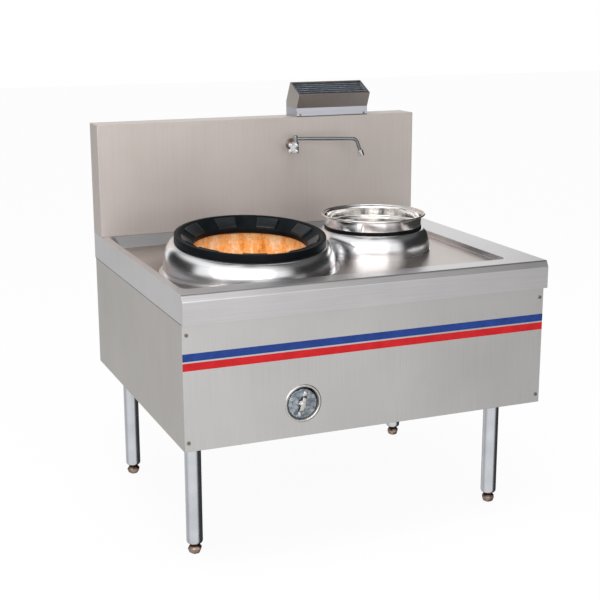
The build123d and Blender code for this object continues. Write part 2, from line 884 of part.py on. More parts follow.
def backsplash():
    """Folded sheet: front, top and both ends of the backsplash."""
    box = block(-half_width, half_width, splash_front_y, back_y, worktop_height, splash_top)
    t = casing_sheet
    box -= block(-half_width + t, half_width - t, splash_front_y + t, back_y + 1,
                 worktop_height - 1, splash_top - t)
    box -= riser_outside(splash_top - cut_reach, splash_top + 1)
    return box - Pos(tap_x, splash_front_y, tap_inlet_z) * along_y(Cylinder(water_pipe_radius, 20))


def backsplash_back():
    """Rear cover of the backsplash."""
    t = casing_sheet
    return block(-half_width + t, half_width - t, back_y - t, back_y, worktop_height,
                 splash_top - t)


def vent_profile():
    """Side outline of the vent hood: upright collar, then both faces lean forward."""
    return Polyline(
        (splash_front_y, splash_top),
        (splash_front_y, splash_top + vent_collar_height),
        (splash_front_y - vent_front_lean, splash_top + vent_front_height),
        (back_y - vent_back_lean, splash_top + vent_back_height),
        (back_y, splash_top + vent_back_straight),
        (back_y, splash_top),
        close=True,
    )


def vent_mouth_plane():
    """Plane of the hood's sloping mouth, X along the slats."""
    y0 = splash_front_y - vent_front_lean
    z0 = splash_top + vent_front_height
    y1 = back_y - vent_back_lean
    z1 = splash_top + vent_back_height
    middle = (vent_left + vent_width / 2, (y0 + y1) / 2, (z0 + z1) / 2)
    length = ((y1 - y0) ** 2 + (z1 - z0) ** 2) ** 0.5
    return Plane(origin=middle, x_dir=(1, 0, 0), z_dir=(0, z0 - z1, y1 - y0)), length


def vent_hood():
    """Sheet hood on top of the backsplash, open along its sloping mouth."""
    face = make_face(vent_profile())
    inner = offset(face, amount=-vent_sheet, kind=Kind.INTERSECTION)
    start = Plane.YZ.offset(vent_left)
    hood = extrude(start * face, amount=vent_width)
    hood -= extrude(Plane.YZ.offset(vent_left + vent_sheet) * inner,
                    amount=vent_width - 2 * vent_sheet)
    plane, length = vent_mouth_plane()
    hood -= plane * Box(vent_width - 2 * vent_rim, length - 2 * vent_rim, 8 * vent_sheet)
    return hood - riser_outside(splash_top - 1, splash_top + 4 * vent_sheet)


def vent_grille():
    """Leaning slats across the hood's mouth, joined by a bar at each end."""
    plane, length = vent_mouth_plane()
    reach = vent_width - 2 * vent_sheet
    pitch = (length - 2 * vent_rim) / vent_slat_count
    drop = vent_sheet + vent_slat_width / 2 + 1
    grille = None
    for k in range(vent_slat_count):
        y = (k - (vent_slat_count - 1) / 2) * pitch
        slat = Pos(0, y, -drop) * Rot(vent_slat_lean, 0, 0) * Box(reach, vent_slat_sheet,
                                                                 vent_slat_width)
        grille = slat if grille is None else grille + slat
    for side in (-1, 1):
        grille += Pos(side * (reach / 2 - 2), 0, -drop) * Box(4, length - 2 * vent_rim - 6, 4)
    return plane * grille


# ---------------------------------------------------------------- ignition port
def port_bezel():
    """Ring around the port on the front panel."""
    outer = port_axis_rod(port_bore_radius + bezel_width, panel_front_y - bezel_thickness,
                          panel_front_y)
    outer = fillet(outer.edges().sort_by(Axis.Y)[0], bezel_thickness * 0.8)
    return outer - port_axis_rod(port_bore_radius, panel_front_y - 10, panel_front_y + 10)


def port_sleeve():
    """Tube from the front panel to the chamber wall."""
    sleeve = port_axis_rod(port_bore_radius + port_sleeve_wall, panel_front_y, main_y)
    sleeve -= port_axis_rod(port_bore_radius, panel_front_y - 1, main_y + 1)
    sleeve -= chamber_solid()
    return sleeve.solids().sort_by(Axis.Y)[0]


def cover_front_y():
    """Depth of the cover's front face."""
    return panel_front_y + cover_recess


def cover_drop():
    """How far the cover rests below the port's axis."""
    return -(port_bore_radius - cover_radius - cover_floor_gap)


def port_cover():
    """Cup-shaped plug that rests in the sleeve."""
    y0 = cover_front_y()
    cup = port_axis_rod(cover_radius, y0, y0 + cover_depth, cover_drop())
    cup = fillet(cup.edges().sort_by(Axis.Y)[0], 3)
    inner = cover_radius - cover_sheet
    return cup - port_axis_rod(inner, y0 + cover_sheet, y0 + cover_depth + 1, cover_drop())


def handle_place():
    """Frame on the cover's face for its handle: X across the strap, Z towards the cook."""
    return (Pos(port_x, cover_front_y(), port_z + cover_drop()) * Rot(0, strap_turn, 0)
            * Rot(90, 0, 0))


def port_handle():
    """Strap handle: two feet riveted to the cover and a raised middle with a twisted grip."""
    t = strap_sheet
    half = strap_reach - strap_width
    side = [(-strap_reach, 0), (-half, 0), (-half + strap_rise, strap_rise),
            (half - strap_rise, strap_rise), (half, 0), (strap_reach, 0)]
    upper = [(y, z + t) for y, z in reversed(side)]
    profile = make_face(Polyline(*side, *upper, close=True))
    strap = extrude(Plane.YZ * profile, amount=strap_width / 2, both=True)
    grip = Rot(0, 0, grip_turn) * Box(grip_length, strap_width, t)
    return handle_place() * (strap + Pos(0, 0, strap_rise + t / 2) * grip)


def port_fixings():
    """The cover's middle bolt and two rivets."""
    base = strap_sheet
    bolt_z = base + strap_rise
    heads = [rod(bolt_radius, bolt_z, bolt_z + bolt_head)]
    for side in (-1, 1):
        y = side * (strap_reach - strap_width / 2)
        heads.append(rod(rivet_radius, base, base + rivet_head, 0, y))
    return Compound(children=[handle_place() * head for head in heads])


def stripe(low, height):
    """A coloured tape across the front panel."""
    return block(-skin_x, skin_x, panel_front_y - stripe_sheet, panel_front_y, low, low + height)


def casing_screws():
    """Screw heads of the front panel and of the vent hood."""
    heads = []
    for x in (-screw_x, screw_x):
        for z in (screw_low_z, screw_high_z):
            heads.append(Pos(x, panel_front_y - screw_height / 2, z)
                         * along_y(Cylinder(screw_radius, screw_height)))
    for x in (vent_left + vent_screw_inset, vent_right - vent_screw_inset):
        heads.append(Pos(x, splash_front_y - screw_height / 2, splash_top + vent_screw_height)
                     * along_y(Cylinder(vent_screw_radius, screw_height)))
    return Compound(children=heads)


# ---------------------------------------------------------------- gas pipework
def cock_top():
    """Height of the cocks' upper ends, under the manifold."""
    return manifold_z - manifold_radius - 10


def feed_end_y():
    """Depth of the burner's neck, which the tilt carries backwards."""
    return main_y - (main_drum_bottom - burner_neck_length) * sin(radians(main_tilt))


def feed_end_z():
    """Height where the feed pipe ends inside the burner's neck."""
    return deck_z(main_x) + (main_drum_bottom - burner_neck_length / 2) * cos(radians(main_tilt))


def inlet_tail(x, y, radius, pipe_radius):
    """Plain end that a supply coupling slides over, below a collar that stops it."""
    collar_z = pipe_end_z + pipe_tail_length
    tail = rod(radius, pipe_end_z, collar_z + 1, x, y)
    return tail + rod(pipe_radius + tail_collar_rim, collar_z, collar_z + tail_collar_height, x, y)


def gas_manifold():
    """Inlet pipe up from the back and across the front, with a stub above each cock."""
    bottom = pipe_end_z + pipe_tail_length
    route = [(inlet_x, inlet_y, bottom), (inlet_x, inlet_y, manifold_z),
             (inlet_x, manifold_y, manifold_z), (manifold_end_x, manifold_y, manifold_z)]
    pipe = bent_rod(route, manifold_radius, manifold_bend)
    pipe += inlet_tail(inlet_x, inlet_y, gas_tail_radius, manifold_radius)
    cap = Pos(manifold_end_x + 4 - manifold_cap_length / 2, manifold_y, manifold_z) * Rot(0, 90, 0)
    pipe += cap * Cylinder(manifold_radius + 3, manifold_cap_length)
    pipe += rod(feed_radius, cock_top(), manifold_z, main_cock_x, manifold_y)
    return pipe + rod(pilot_radius + 2, cock_top(), manifold_z, pilot_cock_x, manifold_y)


def gas_cock(x, radius):
    """Valve body with its stem pointing to the front."""
    top = cock_top()
    body = fillet(rod(radius, top - cock_length, top, x, manifold_y).edges(), radius * 0.25)
    reach = radius + cock_stem_length + lever_sheet
    stem = Pos(x, manifold_y - reach / 2, top - cock_length / 2)
    return body + stem * along_y(Cylinder(cock_stem_radius, reach))


def cock_lever(x, radius, length):
    """Flat lever on a cock's stem, closed when it points sideways."""
    y = manifold_y - radius - cock_stem_length
    z = cock_top() - cock_length / 2
    bar = block(0, length, -lever_sheet, 0, -lever_width / 2, lever_width / 2)
    middle = Pos(0, -lever_sheet / 2, 0)
    hub = middle * along_y(Cylinder(lever_width / 2 + lever_hub_rim, lever_sheet))
    bore = middle * along_y(Cylinder(cock_stem_radius + running_gap, 2 * lever_sheet))
    tip = Pos(length, 0, 0) * middle * along_y(Cylinder(lever_width / 2, lever_sheet))
    return Pos(x, y, z) * (bar + hub + tip - bore)


def main_feed_pipe():
    """Pipe from the main cock down and back to the burner's neck."""
    top = cock_top() - cock_length
    y = feed_end_y()
    route = [(main_cock_x, manifold_y, top), (main_cock_x, manifold_y, feed_z),
             (main_cock_x, y, feed_z), (main_x, y, feed_z), (main_x, y, feed_end_z())]
    return bent_rod(route, feed_radius, feed_bend)


def pilot_tube():
    """Thin tube from the pilot cock to beside the jets."""
    top = cock_top() - cock_length
    route = [(pilot_cock_x, manifold_y, top), (pilot_cock_x, manifold_y, pilot_z),
             (pilot_cock_x, pilot_end_y, pilot_z)]
    return bent_rod(route, pilot_radius, pilot_bend)


# ---------------------------------------------------------------- water, tap and drain
def water_pipe():
    """Supply pipe up inside the backsplash to the tap."""
    bottom = pipe_end_z + pipe_tail_length
    route = [(tap_x, water_pipe_y, bottom), (tap_x, water_pipe_y, tap_inlet_z),
             (tap_x, splash_front_y, tap_inlet_z)]
    pipe = bent_rod(route, water_pipe_radius, water_pipe_bend)
    return pipe + inlet_tail(tap_x, water_pipe_y, water_tail_radius, water_pipe_radius)


def tap_flange():
    """Wall rose."""
    rose = Cylinder(tap_flange_radius, tap_flange_thickness)
    rose = fillet(rose.edges().sort_by(Axis.Z)[-1], tap_flange_thickness * 0.6)
    rose -= Cylinder(tap_arm_radius, 2 * tap_flange_thickness)
    y = splash_front_y - tap_flange_thickness / 2
    return Pos(tap_x, y, tap_inlet_z) * along_y(rose)


def handle_frame():
    """Frame on the handle's axis, Z pointing out to the cook."""
    turn = radians(tap_handle_turn)
    return Plane(origin=(tap_x, tap_y, tap_handle_z), x_dir=(cos(turn), -sin(turn), 0),
                 z_dir=(-sin(turn), -cos(turn), 0))


def tap_body():
    """Valve body on a short arm, with the bonnet that carries the handle."""
    body = rod(tap_body_radius, tap_body_bottom, tap_body_top, tap_x, tap_y)
    body = fillet(body.edges(), 3)
    reach = splash_front_y - tap_y
    arm = Pos(tap_x, tap_y + reach / 2, tap_inlet_z) * along_y(Cylinder(tap_arm_radius, reach))
    bonnet = rod(tap_bonnet_radius, 0, tap_bonnet_reach)
    bonnet += rod(tap_spindle_radius, 0, tap_bonnet_reach + tap_spindle_length)
    bore = rod(spout_spigot_radius + running_gap, tap_body_top - spout_spigot_length,
               tap_body_top + 1, tap_x, tap_y)
    return body + arm + handle_frame() * bonnet - bore


def tap_handle():
    """Four-lobed hand knob."""
    low = tap_bonnet_reach + seat_gap
    knob = rod(tap_handle_hub, low, low + tap_handle_length)
    lobe = rod(tap_lobe_radius, low + 2, low + tap_handle_length - 2, tap_lobe_circle)
    lobe = fillet(lobe.edges(), 3)
    for copy in around(lobe, tap_lobe_count, 180 / tap_lobe_count):
        knob += copy
    bore = rod(tap_spindle_radius + running_gap, 0, tap_bonnet_reach + tap_spindle_length + 1)
    return handle_frame() * (knob - bore)


def tap_spout():
    """Swinging spout: an upright head, a long arm and a bent-down nose."""
    low = tap_body_top + seat_gap
    arm_z = low + spout_rise
    head = fillet(rod(spout_head_radius, low, low + spout_head_height).edges().sort_by(Axis.Z)[-1],
                  spout_head_radius * 0.6)
    head += rod(spout_spigot_radius, low - spout_spigot_length + 1, low + 1)
    route = [(0, 0, arm_z), (spout_reach, 0, arm_z - spout_droop),
             (spout_reach + spout_drop_reach, 0, arm_z - spout_droop - spout_drop)]
    spout = head + bent_rod(route, spout_radius, spout_bend)
    return Pos(tap_x, tap_y, 0) * Rot(0, 0, spout_turn) * spout


def tap_aerator():
    """Nozzle on the spout's end."""
    x = spout_reach + spout_drop_reach
    z = tap_body_top + seat_gap + spout_rise - spout_droop - spout_drop
    aim = Plane(origin=(x, 0, z), z_dir=(spout_drop_reach, 0, -spout_drop))
    nozzle = Cylinder(aerator_radius, aerator_length)
    nozzle = aim * fillet(nozzle.edges(), 2)
    nozzle -= aim * Pos(0, 0, -aerator_length / 2) * Cylinder(spout_radius, aerator_length)
    nozzle -= aim * Pos(0, 0, aerator_length / 2) * Cylinder(aerator_radius - 3, 4)
    return Pos(tap_x, tap_y, 0) * Rot(0, 0, spout_turn) * nozzle


def drain_place():
    """Frame on the deck at the drain."""
    spot = Vector(drain_x, drain_y, deck_z(drain_x))
    return Plane(origin=spot, x_dir=deck_plane.x_dir, z_dir=deck_plane.z_dir)


def drain_cup():
    """Drain body under the deck, with a tailpiece for the waste hose."""
    t = drain_sheet
    low = -worktop_sheet - drain_cup_depth
    tail_z = low - drain_pipe_length + drain_tail_length
    cup = turned(
        (drain_radius, -worktop_sheet),
        (drain_radius + drain_flange, -worktop_sheet),
        (drain_radius + drain_flange, -worktop_sheet - t),
        (drain_radius + t, -worktop_sheet - t),
        (drain_radius + t, low),
        (drain_neck_radius, low - 10),
        (drain_neck_radius, tail_z),
        (drain_pipe_radius, tail_z),
        (drain_pipe_radius, low - drain_pipe_length),
        (drain_pipe_radius - t, low - drain_pipe_length),
        (drain_pipe_radius - t, low - 8),
        (drain_radius - 3, low + t),
        (drain_radius - 3, -worktop_sheet - strainer_depth - seat_gap),
        (drain_radius, -worktop_sheet - strainer_depth - seat_gap),
    )
    return drain_place() * cup


def drain_strainer():
    """Lift-out strainer cup with a ring of holes."""
    outer = drain_radius - strainer_gap
    low = -worktop_sheet - strainer_depth
    cup = rod(outer, low, 0) - rod(outer - drain_sheet, low + drain_sheet, 1)
    hole = rod(strainer_hole_radius, low - 1, low + drain_sheet + 1, strainer_hole_circle)
    for copy in around(hole, strainer_hole_count):
        cup -= copy
    return drain_place() * (cup - rod(strainer_hole_radius, low - 1, low + drain_sheet + 1))


# ---------------------------------------------------------------- all pieces
def pieces():
    """Every node's name and solid."""
    parts = {
        "worktop": worktop(),
        "sunk_deck": sunk_deck(),
        "front_panel": front_panel(),
        "left_panel": side_panel(-1),
        "right_panel": side_panel(1),
        "back_panel": back_panel(),
        "base_frame": base_frame(),
        "corner_posts": corner_posts(),
        "deck_bearers": deck_bearers(),
        "leg_inserts": leg_inserts(),
        "backsplash": backsplash(),
        "backsplash_back": backsplash_back(),
        "flue_riser": flue_riser(),
        "flue_duct": flue_duct(),
        "flue_bridge": flue_bridge(),
        "vent_hood": vent_hood(),
        "vent_grille": vent_grille(),
        "main_dome": main_dome(),
        "wok_ring": wok_ring(),
        "main_drum": main_drum(),
        "main_floor_plate": main_floor_plate(),
        "main_lining": main_lining(),
        "main_burner": main_burner(),
        "main_jets": main_jets(),
        "rear_dome": rear_dome(),
        "pot_ring": pot_ring(),
        "pot": pot(),
        "rear_drum": rear_drum(),
        "rear_lining": rear_lining(),
        "port_bezel": port_bezel(),
        "port_sleeve": port_sleeve(),
        "port_cover": port_cover(),
        "port_handle": port_handle(),
        "port_fixings": port_fixings(),
        "blue_stripe": stripe(blue_stripe_bottom, blue_stripe_height),
        "red_stripe": stripe(red_stripe_bottom, red_stripe_height),
        "casing_screws": casing_screws(),
        "gas_manifold": gas_manifold(),
        "main_cock": gas_cock(main_cock_x, main_cock_radius),
        "main_cock_lever": cock_lever(main_cock_x, main_cock_radius, main_lever_length),
        "pilot_cock": gas_cock(pilot_cock_x, pilot_cock_radius),
        "pilot_cock_lever": cock_lever(pilot_cock_x, pilot_cock_radius, pilot_lever_length),
        "main_feed_pipe": main_feed_pipe(),
        "pilot_tube": pilot_tube(),
        "water_pipe": water_pipe(),
        "tap_flange": tap_flange(),
        "tap_body": tap_body(),
        "tap_handle": tap_handle(),
        "tap_spout": tap_spout(),
        "tap_aerator": tap_aerator(),
        "drain_cup": drain_cup(),
        "drain_strainer": drain_strainer(),
    }
    for name, (x, y) in leg_places.items():
        parts["leg_" + name] = leg(x, y)
        parts["foot_" + name] = foot(x, y)
    return parts


os.makedirs("parts", exist_ok=True)
for node, shape in pieces().items():
    export_step(shape, f"parts/{node}.step")
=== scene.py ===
# %% [markdown]
# # A gas wok range
#
# The real object is a stainless steel range for a restaurant kitchen: one large wok burner under a
# tilted spun dome, a rear pot that the burner's flue gas heats, a backsplash with a flue vent and
# a tap, and four tube legs. Its pieces are already placed as a fixed frame of plain solids. This
# lesson gives them the shapes and finishes that the eye expects: folded edges, spun metal, black
# cast iron, orange refractory and polished chrome.

# %% The frame
import json

from math import cos, pi, radians, sin

import bpy
from mathutils import Matrix, Vector

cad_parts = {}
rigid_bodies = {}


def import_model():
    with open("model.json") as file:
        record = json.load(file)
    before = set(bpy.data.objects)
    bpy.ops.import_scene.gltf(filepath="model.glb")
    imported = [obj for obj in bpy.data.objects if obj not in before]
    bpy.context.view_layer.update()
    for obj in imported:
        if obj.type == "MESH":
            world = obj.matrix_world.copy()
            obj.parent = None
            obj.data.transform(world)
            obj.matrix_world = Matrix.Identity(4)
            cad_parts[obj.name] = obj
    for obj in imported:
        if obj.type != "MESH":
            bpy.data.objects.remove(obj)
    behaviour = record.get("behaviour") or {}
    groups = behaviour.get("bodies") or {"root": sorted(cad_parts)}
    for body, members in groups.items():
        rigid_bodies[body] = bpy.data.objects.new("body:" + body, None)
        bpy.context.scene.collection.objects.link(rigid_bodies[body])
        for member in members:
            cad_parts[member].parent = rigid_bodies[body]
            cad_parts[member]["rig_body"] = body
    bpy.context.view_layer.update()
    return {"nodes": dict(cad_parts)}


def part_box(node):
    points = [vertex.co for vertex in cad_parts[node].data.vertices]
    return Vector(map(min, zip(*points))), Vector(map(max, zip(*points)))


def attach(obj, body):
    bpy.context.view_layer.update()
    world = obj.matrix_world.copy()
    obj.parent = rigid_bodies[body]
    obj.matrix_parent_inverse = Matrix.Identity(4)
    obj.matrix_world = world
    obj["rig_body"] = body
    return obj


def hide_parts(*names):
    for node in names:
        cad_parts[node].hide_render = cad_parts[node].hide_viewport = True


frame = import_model()
print("nodes in the frame:", len(frame["nodes"]))

# %% [markdown]
# ## Places that the pieces share
#
# Three slopes and two axes place almost everything that is round. The deck falls one degree
# towards the left, the large dome leans five degrees towards the cook, and the rear dome stands
# upright. The two feet below are where each axis meets the deck, in metres. Vertices closer than
# MERGE are one, and a point closer than NEAR to a plane counts as lying on it.

# %% Shared places
DECK_SLOPE = radians(1.04)
MAIN_TILT = radians(5)
MERGE = 0.00002
NEAR = 0.0005
main_foot = Vector((-0.252, -0.116, 0.8345))
rear_foot = Vector((0.221, -0.033, 0.8431))
deck_normal = Vector((-sin(DECK_SLOPE), 0, cos(DECK_SLOPE)))
main_place = Matrix.Translation(main_foot) @ Matrix.Rotation(MAIN_TILT, 4, "X")
rear_place = Matrix.Translation(rear_foot)
print("deck height at the two axes:", round(main_foot.z, 4), round(rear_foot.z, 4))

# %% [markdown]
# ## The camera
#
# The photograph was taken from a little above the worktop and from the cook's left, with a long
# lens from about four metres away, so the upright edges stay nearly parallel.

# %% Camera
camera = bpy.data.objects.new("camera", bpy.data.cameras.new("camera"))
bpy.context.scene.collection.objects.link(camera)
camera.location = (-1.5827, -3.7301, 1.6761)
camera.rotation_euler = (radians(76.18), radians(0.11), radians(-22.62))
camera.data.sensor_width = 36
camera.data.lens = 74.4
bpy.context.scene.camera = camera

# %% [markdown]
# ## Small helpers
#
# Blender's operators act on whatever is selected, so each step starts by selecting one piece and
# nothing else. Edges and faces are then picked in code by their place.

# %% Helpers for selecting


def only(piece):
    """Makes one piece the selected and active one."""
    bpy.ops.object.select_all(action="DESELECT")
    piece.select_set(True)
    bpy.context.view_layer.objects.active = piece


def pick(piece, mode, wanted):
    """Selects the vertices, edges or faces whose own point lists pass a test."""
    mesh = piece.data
    for part in (mesh.vertices, mesh.edges, mesh.polygons):
        part.foreach_set("select", [False] * len(part))
    kinds = {"VERT": mesh.vertices, "EDGE": mesh.edges, "FACE": mesh.polygons}
    for item in kinds[mode]:
        corners = [item.index] if mode == "VERT" else item.vertices
        item.select = wanted([mesh.vertices[k].co for k in corners])
    only(piece)
    bpy.ops.object.mode_set(mode="EDIT")
    bpy.ops.mesh.select_mode(type=mode)


def done():
    """Leaves edit mode."""
    bpy.ops.object.mode_set(mode="OBJECT")


def stand_for(piece, material, *nodes):
    """Gives a piece its material and lets it take the place of frame nodes."""
    piece.data.materials.clear()
    piece.data.materials.append(material)
    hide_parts(*nodes)
    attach(piece, frame["nodes"][nodes[0]]["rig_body"])


def smooth(piece, angle=32):
    """Shades a piece smooth except across edges sharper than an angle."""
    only(piece)
    bpy.ops.object.shade_smooth_by_angle(angle=radians(angle))
    return piece


def keep_flats(piece):
    """Shades the folds smooth, and lets the large flat faces set the normals beside them."""
    smooth(piece, 40)
    weigh = piece.modifiers.new("weigh", "WEIGHTED_NORMAL")
    weigh.keep_sharp = True
    weigh.weight = 90
    bpy.ops.object.modifier_apply(modifier=weigh.name)
    return piece


# %% [markdown]
# ## Spun and turned pieces
#
# The domes, the pot, the rings and the legs are all round. A metal spinner presses a disc over a
# turning form, and Blender's Spin does the same with a line: one vertex is extruded along the
# half section, and the line is then swept once around the axis.

# %% Helpers for round pieces


def one_vertex(name, place):
    """A new mesh object that holds a single vertex, left in edit mode."""
    bpy.ops.object.select_all(action="DESELECT")
    bpy.ops.mesh.primitive_plane_add(size=0.01, location=(0, 0, 0))
    piece = bpy.context.active_object
    piece.name = name
    piece.data.name = name
    bpy.ops.object.mode_set(mode="EDIT")
    bpy.ops.mesh.select_mode(type="VERT")
    bpy.ops.mesh.merge(type="CENTER")
    bpy.ops.mesh.select_all(action="SELECT")
    bpy.ops.transform.translate(value=place)
    return piece


def draw_line(points):
    """Extrudes the selected vertex from point to point."""
    for here, after in zip(points, points[1:]):
        step = Vector(after) - Vector(here)
        bpy.ops.mesh.extrude_region_move(TRANSFORM_OT_translate={"value": step})


def arc(centre, radius, start, end, count, height=None):
    """Points of an arc or quarter ellipse in the half section, angles in degrees."""
    rise = radius if height is None else height
    turns = [radians(start + (end - start) * k / count) for k in range(count + 1)]
    return [(centre[0] + radius * cos(a), centre[1] + rise * sin(a)) for a in turns]


def spun(name, section, steps=96, place=Matrix.Identity(4)):
    """Sweeps a half section of (radius, height) points around Z, then sets it in place."""
    points = [(r, 0, z) for r, z in section]
    piece = one_vertex(name, points[0])
    draw_line(points)
    bpy.ops.mesh.select_all(action="SELECT")
    bpy.ops.mesh.spin(steps=steps, angle=2 * pi, center=(0, 0, 0), axis=(0, 0, 1))
    bpy.ops.mesh.select_all(action="SELECT")
    bpy.ops.mesh.remove_doubles(threshold=MERGE)
    bpy.ops.mesh.normals_make_consistent(inside=False)
    done()
    piece.data.transform(place)
    return smooth(piece)


def joined(first, *others):
    """Joins pieces into the first one."""
    only(first)
    for other in others:
        other.select_set(True)
    bpy.ops.object.join()
    return first


# %% [markdown]
# ## Folded sheet pieces
#
# The casing was cut from flat sheet and folded, and a fold is never perfectly sharp: it catches a
# thin line of light. A copy of the frame's plain solid is a good start. Its triangles are merged
# into whole faces, and then only the folds are bevelled.

# %% Helpers for folded sheet


def clean_copy(node, name):
    """A copy of a frame node with its loose triangles merged into whole faces."""
    piece = bpy.data.objects.new(name, frame["nodes"][node].data.copy())
    bpy.context.scene.collection.objects.link(piece)
    only(piece)
    bpy.ops.object.mode_set(mode="EDIT")
    bpy.ops.mesh.select_all(action="SELECT")
    bpy.ops.mesh.remove_doubles(threshold=MERGE)
    bpy.ops.mesh.dissolve_limited(angle_limit=radians(0.5))
    done()
    return piece


def round_folds(piece, radius, wanted):
    """Bevels the edges that pass a test."""
    pick(piece, "EDGE", wanted)
    bpy.ops.mesh.bevel(offset=radius, segments=3, affect="EDGES", clamp_overlap=True)
    done()


def ease_edges(piece, radius, angle=35, segments=1):
    """Takes the sharpness off every edge steeper than an angle."""
    bevel = piece.modifiers.new("ease", "BEVEL")
    bevel.width = radius
    bevel.segments = segments
    bevel.limit_method = "ANGLE"
    bevel.angle_limit = radians(angle)
    only(piece)
    bpy.ops.object.modifier_apply(modifier=bevel.name)


def cut_at(piece, point, normal, keep_above):
    """Cuts a piece along a plane, keeps one side and closes the cut."""
    pick(piece, "FACE", lambda corners: True)
    bpy.ops.mesh.bisect(plane_co=point, plane_no=normal, use_fill=True,
                        clear_inner=keep_above, clear_outer=not keep_above)
    done()


def shade_line_bead(name, middle, length, turn, squash):
    """A thin dark bead along a joint, which paints the shade line there: a short cylinder,
    stretched and flattened.
    """
    bpy.ops.object.select_all(action="DESELECT")
    bpy.ops.mesh.primitive_cylinder_add(vertices=12, radius=0.0014, depth=length, location=middle,
                                        rotation=turn)
    bead = bpy.context.active_object
    bead.name = name
    bpy.ops.object.transform_apply()
    pick(bead, "VERT", lambda p: True)
    bpy.ops.transform.resize(value=squash, center_override=middle)
    done()
    ease_edges(bead, 0.0005, 60, 2)
    return smooth(bead, 50)


# %% [markdown]
# ## Finishes
#
# Every finish is a small node tree. One function adds a node with its settings, colour stops and
# links, and another turns the hex colour that a designer would write into Blender's linear colour.

# %% Helpers for materials


def linear(hex_colour):
    """An sRGB hex colour as linear RGBA."""
    parts = [int(hex_colour[k:k + 2], 16) / 255 for k in (1, 3, 5)]
    lin = [c / 12.92 if c <= 0.04045 else ((c + 0.055) / 1.055) ** 2.4 for c in parts]
    return (*lin, 1)


def add(tree, kind, settings=None, stops=(), **links):
    """Adds a node; links name an input and give a socket or a plain value, stops give colours."""
    node = tree.nodes.new(kind)
    for key, value in (settings or {}).items():
        setattr(node, key, value)
    if stops:
        elements = node.color_ramp.elements
        while len(elements) < len(stops):
            elements.new(1)
        for element, (position, colour) in zip(elements, stops):
            element.position = position
            element.color = linear(colour) if isinstance(colour, str) else colour
    for key, value in links.items():
        socket = node.inputs[int(key[1:])] if key[0] == "i" and key[1:].isdigit() \
            else node.inputs[key.replace("_", " ")]
        if isinstance(value, bpy.types.NodeSocket):
            tree.links.new(value, socket)
        else:
            socket.default_value = value
    return node


def new_material(name, **shader):
    """A material with its node tree, its shader and its object coordinates."""
    material = bpy.data.materials.new(name)
    material.use_nodes = True
    tree = material.node_tree
    tree.nodes.clear()
    surface = add(tree, "ShaderNodeBsdfPrincipled", **shader)
    add(tree, "ShaderNodeOutputMaterial", Surface=surface.outputs[0])
    where = add(tree, "ShaderNodeTexCoord").outputs["Object"]
    return material, tree, surface, where


# %% [markdown]
# ### Brushed stainless sheet
#
# The casing is 304 stainless sheet with a number 4 finish: a belt leaves fine parallel scratches
# along the sheet. Scratches are about 0.1 mm apart, far below a pixel here, so they are drawn as
# streaks a few millimetres apart. They change the roughness and tip the surface very slightly,
# and a slow cloudy change of tone shows handling and heat.

# %% Brushed stainless


def brushed(name, light, dark, grain, roughness=0.34, metallic=1.0):
    """Brushed stainless; grain gives the streaks' frequency along X, Y and Z, per metre."""
    material, tree, surface, where = new_material(name, Metallic=metallic)
    stretched = add(tree, "ShaderNodeMapping", Vector=where, Scale=grain).outputs[0]
    streaks = add(tree, "ShaderNodeTexNoise", Vector=stretched, Scale=1.0, Detail=5.0,
                  Roughness=0.65).outputs[0]
    clouds = add(tree, "ShaderNodeTexNoise", Vector=where, Scale=3.0, Detail=3.0).outputs[0]
    both = add(tree, "ShaderNodeMath", {"operation": "MULTIPLY_ADD"}, i0=streaks, i1=0.45,
               i2=add(tree, "ShaderNodeMath", {"operation": "MULTIPLY"}, i0=clouds,
                      i1=0.55).outputs[0]).outputs[0]
    colour = add(tree, "ShaderNodeValToRGB", Fac=both,
                 stops=((0.35, dark), (0.65, light))).outputs[0]
    tree.links.new(colour, surface.inputs["Base Color"])
    rough = add(tree, "ShaderNodeMapRange", Value=both, To_Min=roughness - 0.06,
                To_Max=roughness + 0.08).outputs[0]
    tree.links.new(rough, surface.inputs["Roughness"])
    bump = add(tree, "ShaderNodeBump", Height=streaks, Strength=0.06, Distance=0.0006)
    tree.links.new(bump.outputs[0], surface.inputs["Normal"])
    return material


def tinted(material, tint, measure):
    """Multiplies a finish by a tint where a measured value is 0, and leaves it where it is 1."""
    tree = material.node_tree
    surface = next(n for n in tree.nodes if n.bl_idname == "ShaderNodeBsdfPrincipled")
    colour = surface.inputs["Base Color"].links[0].from_socket
    where = add(tree, "ShaderNodeTexCoord").outputs["Object"]
    share = add(tree, "ShaderNodeValToRGB", Fac=measure(tree, where),
                stops=((0.0, tint), (1.0, "#FFFFFF"))).outputs[0]
    product = add(tree, "ShaderNodeMix", {"data_type": "RGBA", "blend_type": "MULTIPLY"},
                  Factor=1.0, i6=colour, i7=share).outputs[2]
    tree.links.new(product, surface.inputs["Base Color"])


def far_from(centre, near, far):
    """A measure that rises from 0 to 1 between two distances from a place, in metres."""
    def measure(tree, where):
        away = add(tree, "ShaderNodeVectorMath", {"operation": "DISTANCE"}, i0=where, i1=centre)
        return add(tree, "ShaderNodeMapRange", Value=away.outputs["Value"], From_Min=near,
                   From_Max=far).outputs[0]
    return measure


def below(top, bottom):
    """A measure that rises from 0 to 1 on the way down between two heights, in metres."""
    def measure(tree, where):
        height = add(tree, "ShaderNodeSeparateXYZ", Vector=where).outputs[2]
        return add(tree, "ShaderNodeMapRange", Value=height, From_Min=top,
                   From_Max=bottom).outputs[0]
    return measure


